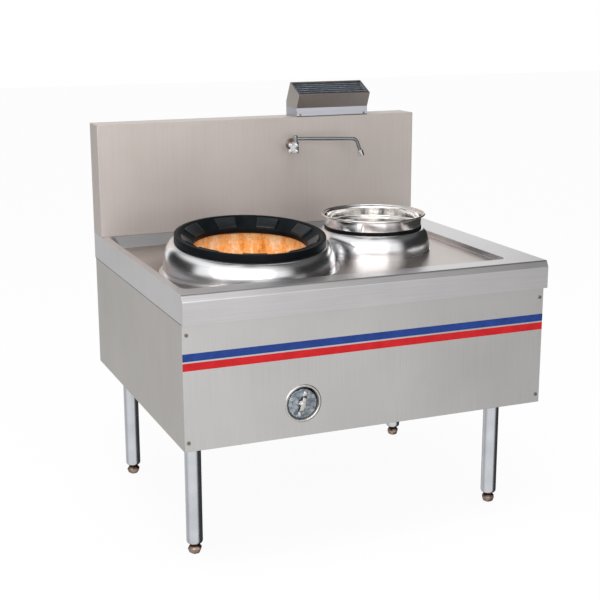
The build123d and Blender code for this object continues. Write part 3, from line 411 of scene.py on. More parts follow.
upright_grain = (420.0, 420.0, 4.0)
deck_grain = (5.0, 420.0, 420.0)
# The steels below are copies of one brushed sheet whose tones are set by how each face is lit:
# painted light and shade, lighter on the rim, front and collar and darker on the backsplash and
# hood.
side_steel = brushed("brushed_steel_side", "#D6D2CE", "#C4C0BC", upright_grain)
front_steel = brushed("brushed_steel_front", "#DEDCDA", "#CFCDCB", upright_grain)
splash_steel = brushed("brushed_steel_splash", "#C0B7B2", "#B4ABA6", upright_grain, 0.40, 0.5)
deck_steel = brushed("brushed_steel_deck", "#D8D0CB", "#C8C0BB", deck_grain, 0.31)
# Painted shade: the deck is darkened in a band just outside the large dome's foot.
tinted(deck_steel, "#B8AFA9", far_from(main_foot, 0.27, 0.37))
rim_steel = brushed("brushed_steel_rim", "#E2E0E1", "#D0CECF", deck_grain, 0.30)
hood_steel = brushed("brushed_steel_hood", "#C8BFB8", "#B2A9A4", upright_grain, 0.28)
collar_steel = brushed("brushed_steel_collar", "#D6D8DF", "#C6C8D0", deck_grain, 0.34)
plain_steel = brushed("plain_steel_sheet", "#A7A6A3", "#8E8D8A", (90.0, 90.0, 60.0), 0.45, 0.5)

# %% [markdown]
# ### Spun stainless
#
# The domes were spun and then rubbed with a fine abrasive while they turned, so their scratches
# run in circles. The height and the distance from the dome's axis feed the noise, which makes
# rings, and a Mapping node first moves and leans the coordinates onto the dome's own axis.

# %% Spun stainless


def ring_noise(tree, where, place, fine):
    """Noise that is constant around an axis, and so makes circular scratches."""
    back = place.inverted()
    local = add(tree, "ShaderNodeMapping", {"vector_type": "POINT"}, Vector=where,
                Location=back.to_translation(), Rotation=back.to_euler()).outputs[0]
    parts = add(tree, "ShaderNodeSeparateXYZ", Vector=local).outputs
    flat = add(tree, "ShaderNodeCombineXYZ", X=parts[0], Y=parts[1]).outputs[0]
    radius = add(tree, "ShaderNodeVectorMath", {"operation": "LENGTH"}, i0=flat).outputs["Value"]
    rings = add(tree, "ShaderNodeCombineXYZ", X=radius, Z=parts[2]).outputs[0]
    return add(tree, "ShaderNodeTexNoise", Vector=rings, Scale=fine, Detail=4.0,
               Roughness=0.7).outputs[0]


def lathe_marks(tree, surface, amount):
    """Smears mirrored light across scratches that run around an upright axis."""
    around_axis = add(tree, "ShaderNodeTangent", {"direction_type": "RADIAL", "axis": "Z"})
    tree.links.new(around_axis.outputs[0], surface.inputs["Tangent"])
    surface.inputs["Anisotropic"].default_value = amount
    surface.inputs["Anisotropic Rotation"].default_value = 0.25


def spun_steel(name, place, light, dark, roughness):
    """Satin spun stainless with circular scratches."""
    material, tree, surface, where = new_material(name, Metallic=1.0)
    lathe_marks(tree, surface, 0.5)
    rings = ring_noise(tree, where, place, 260.0)
    colour = add(tree, "ShaderNodeValToRGB", Fac=rings,
                 stops=((0.3, dark), (0.7, light))).outputs[0]
    tree.links.new(colour, surface.inputs["Base Color"])
    rough = add(tree, "ShaderNodeMapRange", Value=rings, To_Min=roughness - 0.03,
                To_Max=roughness + 0.03).outputs[0]
    tree.links.new(rough, surface.inputs["Roughness"])
    bump = add(tree, "ShaderNodeBump", Height=rings, Strength=0.02, Distance=0.0004)
    tree.links.new(bump.outputs[0], surface.inputs["Normal"])
    return material


dome_steel = spun_steel("spun_steel_main", main_place, "#F6F6F7", "#E6E6E8", 0.23)
rear_steel = spun_steel("spun_steel_rear", rear_place, "#F6F6F7", "#E6E6E8", 0.21)

# %% [markdown]
# ### Polished metal
#
# The pot and the tap are polished until they mirror the room. Only a trace of uneven polish is
# left, which keeps the reflections from looking computed.

# %% Polished metal


def polished(name, colour, roughness, waviness, lathe=0.0):
    """Mirror-bright metal with slightly uneven polish."""
    material, tree, surface, where = new_material(name, Metallic=1.0, Base_Color=linear(colour))
    if lathe:
        lathe_marks(tree, surface, lathe)
    clouds = add(tree, "ShaderNodeTexNoise", Vector=where, Scale=28.0, Detail=3.0).outputs[0]
    rough = add(tree, "ShaderNodeMapRange", Value=clouds, To_Min=roughness * 0.6,
                To_Max=roughness * 1.5).outputs[0]
    tree.links.new(rough, surface.inputs["Roughness"])
    bump = add(tree, "ShaderNodeBump", Height=clouds, Strength=waviness, Distance=0.0012)
    tree.links.new(bump.outputs[0], surface.inputs["Normal"])
    return material


pot_chrome = polished("polished_stainless_pot", "#F4F2F0", 0.11, 0.30, 0.8)
tap_chrome = polished("chrome_plate_tap", "#DEDEDF", 0.12, 0.2)
aged_chrome = polished("aged_chrome_spout", "#9A9D9F", 0.16, 0.2)
# A darker chrome: on the casing screws it is painted shade for the gap around each head, and the
# tap's rose is darker too.
dark_chrome = polished("darkened_chrome", "#8E7F76", 0.30, 0.2)

# %% [markdown]
# ### Black cast iron
#
# The wok ring is grey iron poured in a sand mould and burnt black with oil. Sand leaves a pebbled
# skin with grains about a millimetre across, and the oil gives it a low blue-black sheen that is
# rubbed brighter where woks turn on the lugs.

# %% Black cast iron
black_iron, tree, surface, where = new_material("black_cast_iron")
grit = add(tree, "ShaderNodeTexNoise", Vector=where, Scale=420.0, Detail=5.0).outputs[0]
patches = add(tree, "ShaderNodeTexNoise", Vector=where, Scale=22.0, Detail=3.0).outputs[0]
black = add(tree, "ShaderNodeValToRGB", Fac=patches,
            stops=((0.3, "#06090B"), (0.7, "#0E1317"))).outputs[0]
tree.links.new(black, surface.inputs["Base Color"])
sheen = add(tree, "ShaderNodeMapRange", Value=patches, To_Min=0.36, To_Max=0.52).outputs[0]
tree.links.new(sheen, surface.inputs["Roughness"])
surface.inputs["Specular IOR Level"].default_value = 0.1
skin = add(tree, "ShaderNodeBump", Height=grit, Strength=0.35, Distance=0.0008)
tree.links.new(skin.outputs[0], surface.inputs["Normal"])

# %% [markdown]
# ### Refractory lining
#
# The bowl is a castable of fireclay, orange from iron. Flame and falling salt leave paler, chalky
# patches, and its thin upper edge chips and shows a lighter yellow.

# %% Refractory


def refractory(name, edge_height):
    """Rough fireclay, chipped and pale near its upper edge, with painted flute shade."""
    material, tree, surface, where = new_material(name, Roughness=0.93)
    surface.inputs["Specular IOR Level"].default_value = 0.25
    upright = add(tree, "ShaderNodeMapping", Vector=where, Scale=(1.0, 1.0, 0.12)).outputs[0]
    streaks = add(tree, "ShaderNodeTexNoise", Vector=upright, Scale=44.0, Detail=5.0,
                  Roughness=0.6).outputs[0]
    patches = add(tree, "ShaderNodeTexNoise", Vector=where, Scale=70.0, Detail=7.0,
                  Roughness=0.7).outputs[0]
    broad = add(tree, "ShaderNodeMix", i0=0.5, i2=streaks, i3=patches).outputs[0]
    fine = add(tree, "ShaderNodeTexNoise", Vector=where, Scale=150.0, Detail=6.0,
               Roughness=0.7).outputs[0]
    # Painted light and shade of the flutes: eighteen light and dark bands around the main dome's
    # axis.
    turned = add(tree, "ShaderNodeMapping", Vector=where, Location=(-main_foot.x, -main_foot.y, 0))
    angle = add(tree, "ShaderNodeTexGradient", {"gradient_type": "RADIAL"},
                Vector=turned.outputs[0])
    painted_flute_shade_wave = add(tree, "ShaderNodeMath", {"operation": "SINE"},
               i0=add(tree, "ShaderNodeMath", {"operation": "MULTIPLY"}, i0=angle.outputs["Fac"],
                      i1=2 * pi * 18).outputs[0]).outputs[0]
    banded = add(tree, "ShaderNodeMath", {"operation": "MULTIPLY_ADD"}, i0=painted_flute_shade_wave, i1=0.05,
                 i2=broad).outputs[0]
    clay = add(tree, "ShaderNodeValToRGB", Fac=banded,
               stops=((0.36, "#D88A3C"), (0.45, "#FFAF5C"), (0.53, "#FFC986"),
                      (0.62, "#FFE9D2"))).outputs[0]
    height = add(tree, "ShaderNodeSeparateXYZ", Vector=where).outputs[2]
    near_edge = add(tree, "ShaderNodeMapRange", Value=height, From_Min=edge_height - 0.035,
                    From_Max=edge_height).outputs[0]
    chips = add(tree, "ShaderNodeMath", {"operation": "MULTIPLY"}, i0=near_edge,
                i1=add(tree, "ShaderNodeMapRange", Value=fine, From_Min=0.46,
                       From_Max=0.58).outputs[0]).outputs[0]
    chipped = add(tree, "ShaderNodeMix", {"data_type": "RGBA"}, Factor=chips, i6=clay,
                  i7=linear("#F3DCA8")).outputs[2]
    tree.links.new(chipped, surface.inputs["Base Color"])
    bump = add(tree, "ShaderNodeBump", Height=fine, Strength=0.8, Distance=0.003)
    tree.links.new(bump.outputs[0], surface.inputs["Normal"])
    return material


fireclay = refractory("fireclay_castable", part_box("main_lining")[1].z)

# %% [markdown]
# ### The other finishes
#
# What is left is simpler: galvanised plate with its spangle, vinyl tape, painted angle iron, cast
# burner iron, brass, copper and pale ceramic fibre. One function makes those that differ only in
# colour, gloss and the size of their grain.

# %% Other finishes


def grained(name, light, dark, grain, metallic, roughness, depth):
    """A finish that is known by its two tones, its gloss and the size of its grain."""
    material, tree, surface, where = new_material(name, Metallic=metallic)
    noise = add(tree, "ShaderNodeTexNoise", Vector=where, Scale=grain, Detail=4.0).outputs[0]
    colour = add(tree, "ShaderNodeValToRGB", Fac=noise,
                 stops=((0.35, dark), (0.65, light))).outputs[0]
    tree.links.new(colour, surface.inputs["Base Color"])
    rough = add(tree, "ShaderNodeMapRange", Value=noise, To_Min=roughness - 0.05,
                To_Max=roughness + 0.05).outputs[0]
    tree.links.new(rough, surface.inputs["Roughness"])
    bump = add(tree, "ShaderNodeBump", Height=noise, Strength=0.3, Distance=depth)
    tree.links.new(bump.outputs[0], surface.inputs["Normal"])
    return material


galvanised, tree, surface, where = new_material("galvanised_plate", Metallic=1.0)
spangle = add(tree, "ShaderNodeTexVoronoi", Vector=where, Scale=110.0)
tones = add(tree, "ShaderNodeSeparateXYZ", Vector=spangle.outputs["Color"]).outputs[0]
zinc = add(tree, "ShaderNodeValToRGB", Fac=tones,
           stops=((0.0, "#707984"), (0.5, "#98A2AC"), (1.0, "#C6CBCF"))).outputs[0]
tree.links.new(zinc, surface.inputs["Base Color"])
frost = add(tree, "ShaderNodeMapRange", Value=tones, To_Min=0.25, To_Max=0.5).outputs[0]
tree.links.new(frost, surface.inputs["Roughness"])

angle_paint = grained("grey_angle_paint", "#5A5C5E", "#4A4C4E", 40.0, 0.0, 0.55, 0.0006)
burner_iron = grained("raw_cast_iron", "#4A4644", "#2E2B2A", 260.0, 0.6, 0.62, 0.001)
hot_steel = grained("heat_tinted_steel", "#7D746C", "#4F4843", 14.0, 1.0, 0.48, 0.0005)
rubbed_iron = grained("rubbed_cast_iron", "#12181C", "#0A0F12", 90.0, 0.0, 0.32, 0.0005)
brass = grained("cast_brass", "#D0B06A", "#B3924F", 200.0, 1.0, 0.32, 0.0004)
copper = grained("copper_tube", "#C98A66", "#B0714E", 60.0, 1.0, 0.28, 0.0003)
gas_yellow = grained("gas_pipe_paint", "#D9B63A", "#C7A32E", 50.0, 0.0, 0.4, 0.0004)
lever_red = grained("lever_paint", "#B8241F", "#A01C19", 60.0, 0.0, 0.35, 0.0003)
ceramic_fibre = grained("ceramic_fibre", "#DDD6C8", "#C6BEAF", 120.0, 0.0, 0.95, 0.0015)
slat_steel = grained("sooted_slats", "#B4BCC6", "#858D97", 60.0, 0.6, 0.45, 0.0004)
leg_steel = grained("leg_tube_steel", "#E4E7EC", "#D4D7DD", 12.0, 1.0, 0.26, 0.0002)
foot_steel_painted_neck_shade = grained("bronzed_foot_steel_painted_neck_shade", "#BFA898", "#9C877A", 90.0, 1.0, 0.34, 0.0003)
# Painted shade: the foot darkens from 21.5 mm up and is dark brown above 26.5 mm, on its neck and
# stem under the leg.
tinted(foot_steel_painted_neck_shade, "#5A3A32", below(0.0265, 0.0215))
satin_steel = grained("satin_turned_steel", "#DCDAD6", "#C4C2BE", 160.0, 1.0, 0.26, 0.0002)
bright_strip = grained("bright_strip_steel", "#E6E4E0", "#CFCDC9", 120.0, 1.0, 0.2, 0.0003)
blue_tape = grained("blue_vinyl_tape", "#1E3C82", "#1A3474", 30.0, 0.0, 0.4, 0.0002)
red_tape = grained("red_vinyl_tape", "#BE191E", "#AE141A", 30.0, 0.0, 0.4, 0.0002)
# A dark grey for the beads that paint shade lines under the apron and at the vent collar's foot.
shade_line_finish = grained("painted_shade_line_grey", "#4C4C4F", "#3C3C40", 60.0, 0.0, 0.6, 0.0003)
for tape in (blue_tape, red_tape):
    gloss = next(n for n in tape.node_tree.nodes if n.bl_idname == "ShaderNodeBsdfPrincipled")
    gloss.inputs["Specular IOR Level"].default_value = 0.2
print("materials:", len(bpy.data.materials))

# %% [markdown]
# ## Worktop and sunk deck
#
# The rim, the apron and the leaning walls of the sunk deck are one folded sheet, and the sloping
# floor is welded in under the walls. The folds have a radius of about two millimetres. They are
# found by where they lie: along both ends of the sheet, and around the mouth of the pan.

# %% Worktop
worktop = clean_copy("worktop", "worktop_sheet")
work_low, work_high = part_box("worktop")
rim_z = work_high.z
mouth_low = Vector((-0.5755, -0.4385))
mouth_high = Vector((0.4955, 0.4125))


def end_fold(ends):
    """The folds around both ends of the sheet, but not the apron's lower edge or its back."""
    at_end = all(abs(p.x) > work_high.x - NEAR for p in ends)
    low = all(p.z < work_low.z + NEAR for p in ends)
    back = all(p.y > work_high.y - NEAR for p in ends)
    return at_end and not low and not back


def mouth_fold(ends):
    """Where the rim turns down into the walls of the sunk deck."""
    for p in ends:
        if p.z < rim_z - NEAR or not mouth_low.x < p.x < mouth_high.x:
            return False
        if not mouth_low.y < p.y < mouth_high.y:
            return False
    return True


def on_deck(point):
    """True on the plane of the deck's upper face."""
    return abs((point - main_foot).dot(deck_normal)) < 0.0004


# %% [markdown]
# A welder joins the walls to the floor from above, and the bead is dressed to a small cove. Its
# line is already in the sheet: the lower edges of the faces that look up into the pan. They are
# duplicated, separated, turned into a curve and given the bead's thickness.

# %% Weld bead
mesh = worktop.data
inward = {key for face in mesh.polygons if face.normal.z > 0.05 for key in face.edge_keys}
pick(worktop, "EDGE", lambda ends: False)
done()
for edge in mesh.edges:
    edge.select = edge.key in inward and all(on_deck(mesh.vertices[k].co) for k in edge.key)
bpy.ops.object.mode_set(mode="EDIT")
bpy.ops.mesh.duplicate()
bpy.ops.mesh.separate(type="SELECTED")
done()
bead = next(piece for piece in bpy.context.selected_objects if piece != worktop)
bead.name = "deck_weld_bead"
only(bead)
bpy.ops.object.convert(target="CURVE")
bead = bpy.context.active_object
bead.data.bevel_depth = 0.0026
bead.data.bevel_resolution = 3
bpy.ops.object.convert(target="MESH")
bead = bpy.context.active_object
stand_for(smooth(bead, 60), rim_steel, "sunk_deck")
print("bead faces:", len(bead.data.polygons))

# %% Folds of the worktop
round_folds(worktop, 0.0018, mouth_fold)
round_folds(worktop, 0.0020, end_fold)
stand_for(keep_flats(worktop), rim_steel, "worktop")
print("worktop faces:", len(worktop.data.polygons))

# %% Sunk deck
deck = clean_copy("sunk_deck", "deck_floor")
stand_for(keep_flats(deck), deck_steel, "sunk_deck")

# %% [markdown]
# Where the apron laps over each side panel, a thin dark bead along the joint paints the shade line
# under the apron: painted shade for the gap there.

# %% Painted shade line under the apron
for side, name in ((-1, "left"), (1, "right")):
    middle = ((work_high.x - 0.0012) * side, (work_low.y + work_high.y) / 2 + 0.008,
              work_low.z - 0.0014)
    bead = shade_line_bead("painted_shade_line_" + name, middle, 1.010, (pi / 2, 0, 0), (0.8, 1, 1.1))
    stand_for(bead, shade_line_finish, "worktop")

# %% [markdown]
# ## Casing panels and backsplash
#
# The panels are flat sheets. Only their outside edges are eased, by less than half of the sheet's
# thickness, which is enough to draw a fine light line along each edge.

# %% Casing panels
sheets = {
    "front_panel": front_steel,
    "left_panel": side_steel,
    "right_panel": side_steel,
    "back_panel": plain_steel,
    "backsplash_back": plain_steel,
}
for node, steel in sheets.items():
    panel = clean_copy(node, node + "_sheet")
    ease_edges(panel, 0.0005)
    stand_for(keep_flats(panel), steel, node)

splash = clean_copy("backsplash", "backsplash_sheet")
splash_low, splash_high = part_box("backsplash")


def splash_fold(ends):
    """The folds at the top and at both ends of the front face, and along the top's ends."""
    front = all(p.y < splash_low.y + NEAR for p in ends)
    top = all(p.z > splash_high.z - NEAR for p in ends)
    end = all(abs(p.x) > splash_high.x - NEAR for p in ends)
    return (front + top + end) >= 2 and (ends[0] - ends[1]).length > 0.05


round_folds(splash, 0.0025, splash_fold)
stand_for(keep_flats(splash), splash_steel, "backsplash")

# %% [markdown]
# ## Vent hood and slats
#
# The hood is a small folded box whose mouth has a narrow turned-in rim. The copy is cut in two at
# the fold, so that each half takes its own tone: the collar below is painted lighter and bluer and
# the face above darker, as painted light and shade on one sheet. A dark bead along the collar's
# foot paints the shade line there. The slats are strips that lean back, darkened by soot.

# %% Vent hood
hood_low, hood_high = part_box("vent_hood")
fold_height = hood_low.z + 0.031
for name, above, steel in (("vent_hood_face", True, hood_steel),
                           ("vent_hood_collar", False, collar_steel)):
    half = clean_copy("vent_hood", name)
    cut_at(half, (0, 0, fold_height), (0, 0, 1), above)
    ease_edges(half, 0.0008, 30)
    stand_for(keep_flats(half), steel, "vent_hood")
collar_y = min(v.co.y for v in frame["nodes"]["vent_hood"].data.vertices
               if v.co.z < hood_low.z + 0.001)
# A dark bead along the collar's foot paints the shade line there.
foot_bead = shade_line_bead("vent_foot_shade_line",
                         ((hood_low.x + hood_high.x) / 2, collar_y - 0.0004, hood_low.z + 0.0012),
                         hood_high.x - hood_low.x - 0.001, (0, pi / 2, 0), (1, 0.8, 1.1))
stand_for(foot_bead, shade_line_finish, "vent_hood")
slats = clean_copy("vent_grille", "vent_slats")
ease_edges(slats, 0.0004, 40)
stand_for(keep_flats(slats), slat_steel, "vent_grille")

# %% [markdown]
# ## The large dome
#
# The skirt rises straight from the deck, turns over in a wide shoulder that is a quarter of an
# ellipse, and ends in a flat top under the ring. The sheet is two millimetres thick. Because the
# dome leans and the deck slopes, the skirt is made too long and then cut along the deck.

# %% Domes
SHEET = 0.002


def dome_section(radius, top_radius, height, shoulder, hole, low=-0.06):
    """Closed half section of a dome: outside from the foot to the hole, and back inside."""
    spring = height - shoulder
    outside = [(radius, low), *arc((top_radius, spring), radius - top_radius, 0, 90, 16, shoulder)]
    inside = [(hole, height - SHEET),
              *arc((top_radius - SHEET, spring), radius - top_radius, 90, 0, 16, shoulder - SHEET),
              (radius - SHEET, low)]
    return [*outside, (hole, height), *inside, (radius, low)]


def dome(name, place, foot, sizes, collar):
    """A dome with its collar, both cut along the sloping deck."""
    shell = spun(name, dome_section(*sizes), 128, place)
    cut_at(shell, foot, deck_normal, True)
    radius = sizes[0]
    lift = 0.0016
    ring = spun(name + "_collar", [(radius - 0.001, -0.05), (radius + collar, -0.05),
                                   (radius + collar, 0.05), (radius - 0.001, 0.05),
                                   (radius - 0.001, -0.05)], 128, place)
    cut_at(ring, foot, deck_normal, True)
    cut_at(ring, foot + deck_normal * lift, deck_normal, False)
    return smooth(joined(shell, ring), 30)


main_dome = dome("main_dome_shell", main_place, main_foot, (0.274, 0.240, 0.0885, 0.070, 0.212),
                 0.012)
stand_for(main_dome, dome_steel, "main_dome")
rear_dome = dome("rear_dome_shell", rear_place, rear_foot, (0.191, 0.163, 0.075, 0.062, 0.154),
                 0.0025)
stand_for(rear_dome, rear_steel, "rear_dome")
print("dome faces:", len(main_dome.data.polygons))

# %% [markdown]
# ## The wok ring
#
# A wok of any size rests on nine lugs cast on the ring's inner cone, and flame escapes between
# them. The ring is spun from its section, with cast corners about two millimetres round, and one
# lug is spun through twenty degrees, eased, and copied around.

# %% Wok ring
LIP = 0.1126
ring_section = [
    (0.190, 0.0666), (0.205, 0.0886), (0.238, 0.0886), (0.240, 0.0906),
    *arc((0.2370, LIP - 0.003), 0.003, 0, 90, 4),
    *arc((0.2290, LIP - 0.003), 0.003, 90, 130, 3),
    *arc((0.1810, 0.0800), 0.002, 130, 180, 3),
    (0.179, 0.0686), (0.181, 0.0666), (0.190, 0.0666),
]
wok_ring = spun("wok_ring_casting", ring_section, 144, main_place)


def lug_wedge(name):
    """One raised lug, from the hole to the lip, swept through its width."""
    slope = 0.031 / 0.049
    inner, outer, rise = 0.1815, 0.223, 0.007
    low = LIP - 0.031 + slope * (inner - 0.179)
    high = LIP - 0.031 + slope * (outer - 0.179)
    section = [(inner, 0, low - rise), (inner, 0, low + rise - 0.0015),
               (inner + 0.0015, 0, low + rise), (outer - rise - 0.001, 0, high + 0.0022),
               (outer - rise + 0.0005, 0, high + 0.0012), (outer, 0, high - rise)]
    lug = one_vertex(name, section[0])
    draw_line(section + [section[0]])
    bpy.ops.mesh.select_all(action="SELECT")
    bpy.ops.mesh.remove_doubles(threshold=MERGE)
    bpy.ops.mesh.edge_face_add()
    bpy.ops.mesh.spin(steps=10, angle=radians(20), center=(0, 0, 0), axis=(0, 0, 1))
    bpy.ops.mesh.select_all(action="SELECT")
    bpy.ops.mesh.normals_make_consistent(inside=False)
    done()
    ease_edges(lug, 0.0012, 40, 2)
    return lug


first_lug = lug_wedge("lug")
lugs = []
for k in range(9):
    lug = first_lug.copy()
    lug.data = first_lug.data.copy()
    bpy.context.scene.collection.objects.link(lug)
    turn = Matrix.Rotation(radians(-6.5 - 10 + 40 * k), 4, "Z")
    lug.data.transform(main_place @ turn)
    lugs.append(lug)
bpy.data.objects.remove(first_lug)
stand_for(smooth(wok_ring, 40), black_iron, "wok_ring")
all_lugs = joined(*lugs)
all_lugs.name = "wok_ring_lugs"
stand_for(smooth(all_lugs, 40), rubbed_iron, "wok_ring")
print("wok ring faces:", len(wok_ring.data.polygons))

# %% [markdown]
# ## The refractory bowl
#
# Eighteen shallow flutes carry the flame up. The bowl is drawn as hand modelling would do it: a
# circle, every sixth stretch pushed out into a flute, then extruded downwards and drawn in ring
# by ring. A cloud texture roughens it all over. It is one open surface, with neither a back nor
# the holes of the frame's lining.

# %% Refractory bowl
FLUTES = 18
PER_FLUTE = 8
bowl_stations = [(0.0, 0.181), (-0.012, 0.179), (-0.045, 0.1732), (-0.080, 0.1671),
                 (-0.120, 0.1601), (-0.180, 0.1465), (-0.245, 0.1312), (-0.310, 0.1181),
                 (-0.380, 0.1160), (-0.447, 0.1141)]


def flute_ring(piece, radius, height):
    """Pushes the middles of the flutes outwards at one height."""
    for step, push in ((4, 1.030), (3, 1.022), (5, 1.022), (2, 1.010), (6, 1.010)):
        pick(piece, "VERT", lambda p: abs(p[0].z - height) < 0.0002)
        done()
        for vertex in piece.data.vertices:
            vertex.select = vertex.select and vertex.index % PER_FLUTE == step
        only(piece)
        bpy.ops.object.mode_set(mode="EDIT")
        bpy.ops.transform.resize(value=(push, push, 1), center_override=(0, 0, height))
        done()


bpy.ops.object.select_all(action="DESELECT")
bpy.ops.mesh.primitive_circle_add(vertices=FLUTES * PER_FLUTE, radius=bowl_stations[0][1])
bowl = bpy.context.active_object
bowl.name = "refractory_bowl"
flute_ring(bowl, bowl_stations[0][1], 0.0)
pick(bowl, "VERT", lambda p: True)
for (z0, r0), (z1, r1) in zip(bowl_stations, bowl_stations[1:]):
    bpy.ops.mesh.extrude_region_move(TRANSFORM_OT_translate={"value": (0, 0, z1 - z0)})
    bpy.ops.transform.resize(value=(r1 / r0, r1 / r0, 1), center_override=(0, 0, z1))
done()
pick(bowl, "VERT", lambda p: abs(p[0].z) < 0.0002)
bpy.ops.mesh.extrude_region_move(TRANSFORM_OT_translate={"value": (0, 0, 0)})
bpy.ops.transform.resize(value=(0.2035 / 0.181, 0.2035 / 0.181, 1), center_override=(0, 0, 0))
done()
only(bowl)
bpy.ops.object.mode_set(mode="EDIT")
bpy.ops.mesh.select_all(action="SELECT")
bpy.ops.mesh.subdivide(number_cuts=2)
bpy.ops.mesh.normals_make_consistent(inside=True)
done()
rough_cloud = bpy.data.textures.new("castable_grit", "CLOUDS")
rough_cloud.noise_scale = 0.012
grit_modifier = bowl.modifiers.new("grit", "DISPLACE")
grit_modifier.texture = rough_cloud
grit_modifier.texture_coords = "LOCAL"
grit_modifier.strength = 0.003
only(bowl)
bpy.ops.object.modifier_apply(modifier="grit")
bowl.data.transform(main_place @ Matrix.Translation((0, 0, 0.060)))
stand_for(smooth(bowl, 60), fireclay, "main_lining")

# %% [markdown]
# ## The pot and its ring
#
# The pot is pressed from polished sheet: a flat-bottomed well, a ledge that rests on a black ring,
# an upright band and a rim rolled over a wire. The whole section is one closed line.

# %% Pot
STEP = 0.0832
WALL = 0.0015
pot_rim = arc((0.1716, STEP + 0.039), 0.003, -60, 250, 12)
pot_section = [
    (0, STEP - 0.118), *arc((0.112, STEP - 0.090), 0.028, -90, 0, 8), (0.140, STEP - 0.004),
    *arc((0.144, STEP - 0.004), 0.004, 180, 90, 4), (0.157, STEP),
    *arc((0.157, STEP + 0.004), 0.004, -90, 0, 4), (0.161, STEP + 0.030),
    *arc((0.1700, STEP + 0.030), 0.009, 180, 115, 5),
    *pot_rim,
    *arc((0.1690, STEP + 0.0305), 0.0095, 115, 180, 5),
    (0.1595, STEP + 0.006), *arc((0.1555, STEP + 0.0055), 0.004, 0, -90, 4),
    (0.1425, STEP + WALL), *arc((0.1425, STEP - 0.0025), 0.004, 90, 180, 4),
    (0.1385, STEP - 0.090), *arc((0.112, STEP - 0.090), 0.0265, 0, -90, 8), (0, STEP - 0.1165),
]
pot = spun("pot_shell", pot_section, 128, rear_place)
stand_for(pot, pot_chrome, "pot")
pot_ring = spun("pot_ring_casting", [
    (0.148, 0.0631), (0.153, 0.0631), (0.153, 0.0751), (0.161, 0.0751), (0.163, 0.0766),
    (0.163, 0.0816), (0.1615, 0.0831), (0.149, 0.0831), (0.148, 0.0821), (0.148, 0.0631),
], 96, rear_place)
stand_for(pot_ring, black_iron, "pot_ring")

# %% [markdown]
# ## Legs and feet
#
# The legs are plain stainless tube with a rounded plug in each lower end. The feet are turned from
# hexagonal bar, so a six-sided cylinder is drawn in and out, ring by ring.

# %% Legs and feet
corners = ["front_left", "front_right", "rear_left", "rear_right"]
leg_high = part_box("leg_front_left")[1].z
plug_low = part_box("leg_inserts")[0].z
plugs = []
for corner in corners:
    low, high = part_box("leg_" + corner)
    place = Matrix.Translation(((low.x + high.x) / 2, (low.y + high.y) / 2, 0))
    tube = spun("leg_tube_" + corner, [
        (0.0235, low.z), (0.0252, low.z), (0.0255, low.z + 0.0003), (0.0255, leg_high),
        (0.0235, leg_high), (0.0235, low.z),
    ], 48, place)
    stand_for(tube, leg_steel, "leg_" + corner)
    plugs.append(spun("leg_plug_" + corner, [
        (0.0081, plug_low), (0.0150, plug_low), *arc((0.0155, plug_low + 0.010), 0.010, -90, 0, 6),
        (0.0255, low.z), (0.0234, low.z), (0.0234, low.z + 0.034), (0.0081, low.z + 0.034),
        (0.0081, plug_low),
    ], 48, place))
stand_for(smooth(joined(*plugs)), leg_steel, "leg_inserts")


def hex_foot(corner):
    """A foot from hexagonal bar: chamfered sole, flats, shoulder, neck and stem."""
    low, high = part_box("foot_" + corner)
    x, y = (low.x + high.x) / 2, (low.y + high.y) / 2
    bpy.ops.object.select_all(action="DESELECT")
    bpy.ops.mesh.primitive_cylinder_add(vertices=6, radius=0.0130, depth=0.003,
                                        location=(x, y, 0.0015), rotation=(0, 0, radians(30)))
    foot = bpy.context.active_object
    foot.name = "foot_turned_" + corner
    bpy.ops.object.transform_apply()
    pick(foot, "FACE", lambda corners: all(p.z > 0.0029 for p in corners))
    radius, height = 0.0130, 0.003
    for step, grown in ((0.0, 0.0175), (0.004, 0.0195), (0.010, 0.0228), (0.0015, 0.0228),
                        (0.0100, 0.0153), (0.0005, 0.0148), (0.0038, 0.0148), (0.0, 0.0080)):
        bpy.ops.mesh.extrude_region_move(TRANSFORM_OT_translate={"value": (0, 0, step)})
        height += step
        bpy.ops.transform.resize(value=(grown / radius, grown / radius, 1),
                                 center_override=(x, y, height))
        radius = grown
    bpy.ops.mesh.extrude_region_move(TRANSFORM_OT_translate={"value": (0, 0, 0.062)})
    done()
    ease_edges(foot, 0.0006, 20, 2)
    stand_for(smooth(foot, 25), foot_steel_painted_neck_shade, "foot_" + corner)


for corner in corners:
    hex_foot(corner)

# %% [markdown]
# ## The ignition port
#
# A turned bezel frames the sleeve. Inside it sits a plug of galvanised plate with a bent strap
# for a handle, a bolt through its middle and a rivet at each foot of the strap.

# %% Ignition port
bezel_low, bezel_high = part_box("port_bezel")
port_x = (bezel_low.x + bezel_high.x) / 2
port_z = (bezel_low.z + bezel_high.z) / 2
facing = Matrix.Translation((port_x, bezel_high.y, port_z)) @ Matrix.Rotation(pi / 2, 4, "X")
bezel = spun("port_bezel_ring", [
    (0.0505, 0.0), (0.0505, 0.0018), *arc((0.0545, 0.0008), 0.0038, 165, 15, 10, 0.0022),
    (0.0585, 0.0006), (0.0585, 0.0), (0.0505, 0.0),
], 96, facing)
stand_for(bezel, satin_steel, "port_bezel")
cover = clean_copy("port_cover", "port_cover_plate")
stand_for(smooth(cover, 30), galvanised, "port_cover")
strap = clean_copy("port_handle", "port_strap")
ease_edges(strap, 0.0006, 30, 2)
stand_for(smooth(strap, 40), bright_strip, "port_handle")
fixings = clean_copy("port_fixings", "port_bolt_and_rivets")
ease_edges(fixings, 0.0008, 40, 3)
stand_for(smooth(fixings, 40), bright_strip, "port_fixings")

# %% [markdown]
# ## Tap
#
# The tap's castings are polished and plated. The copies keep the frame's sizes, and their edges
# are eased so that the plating catches light.

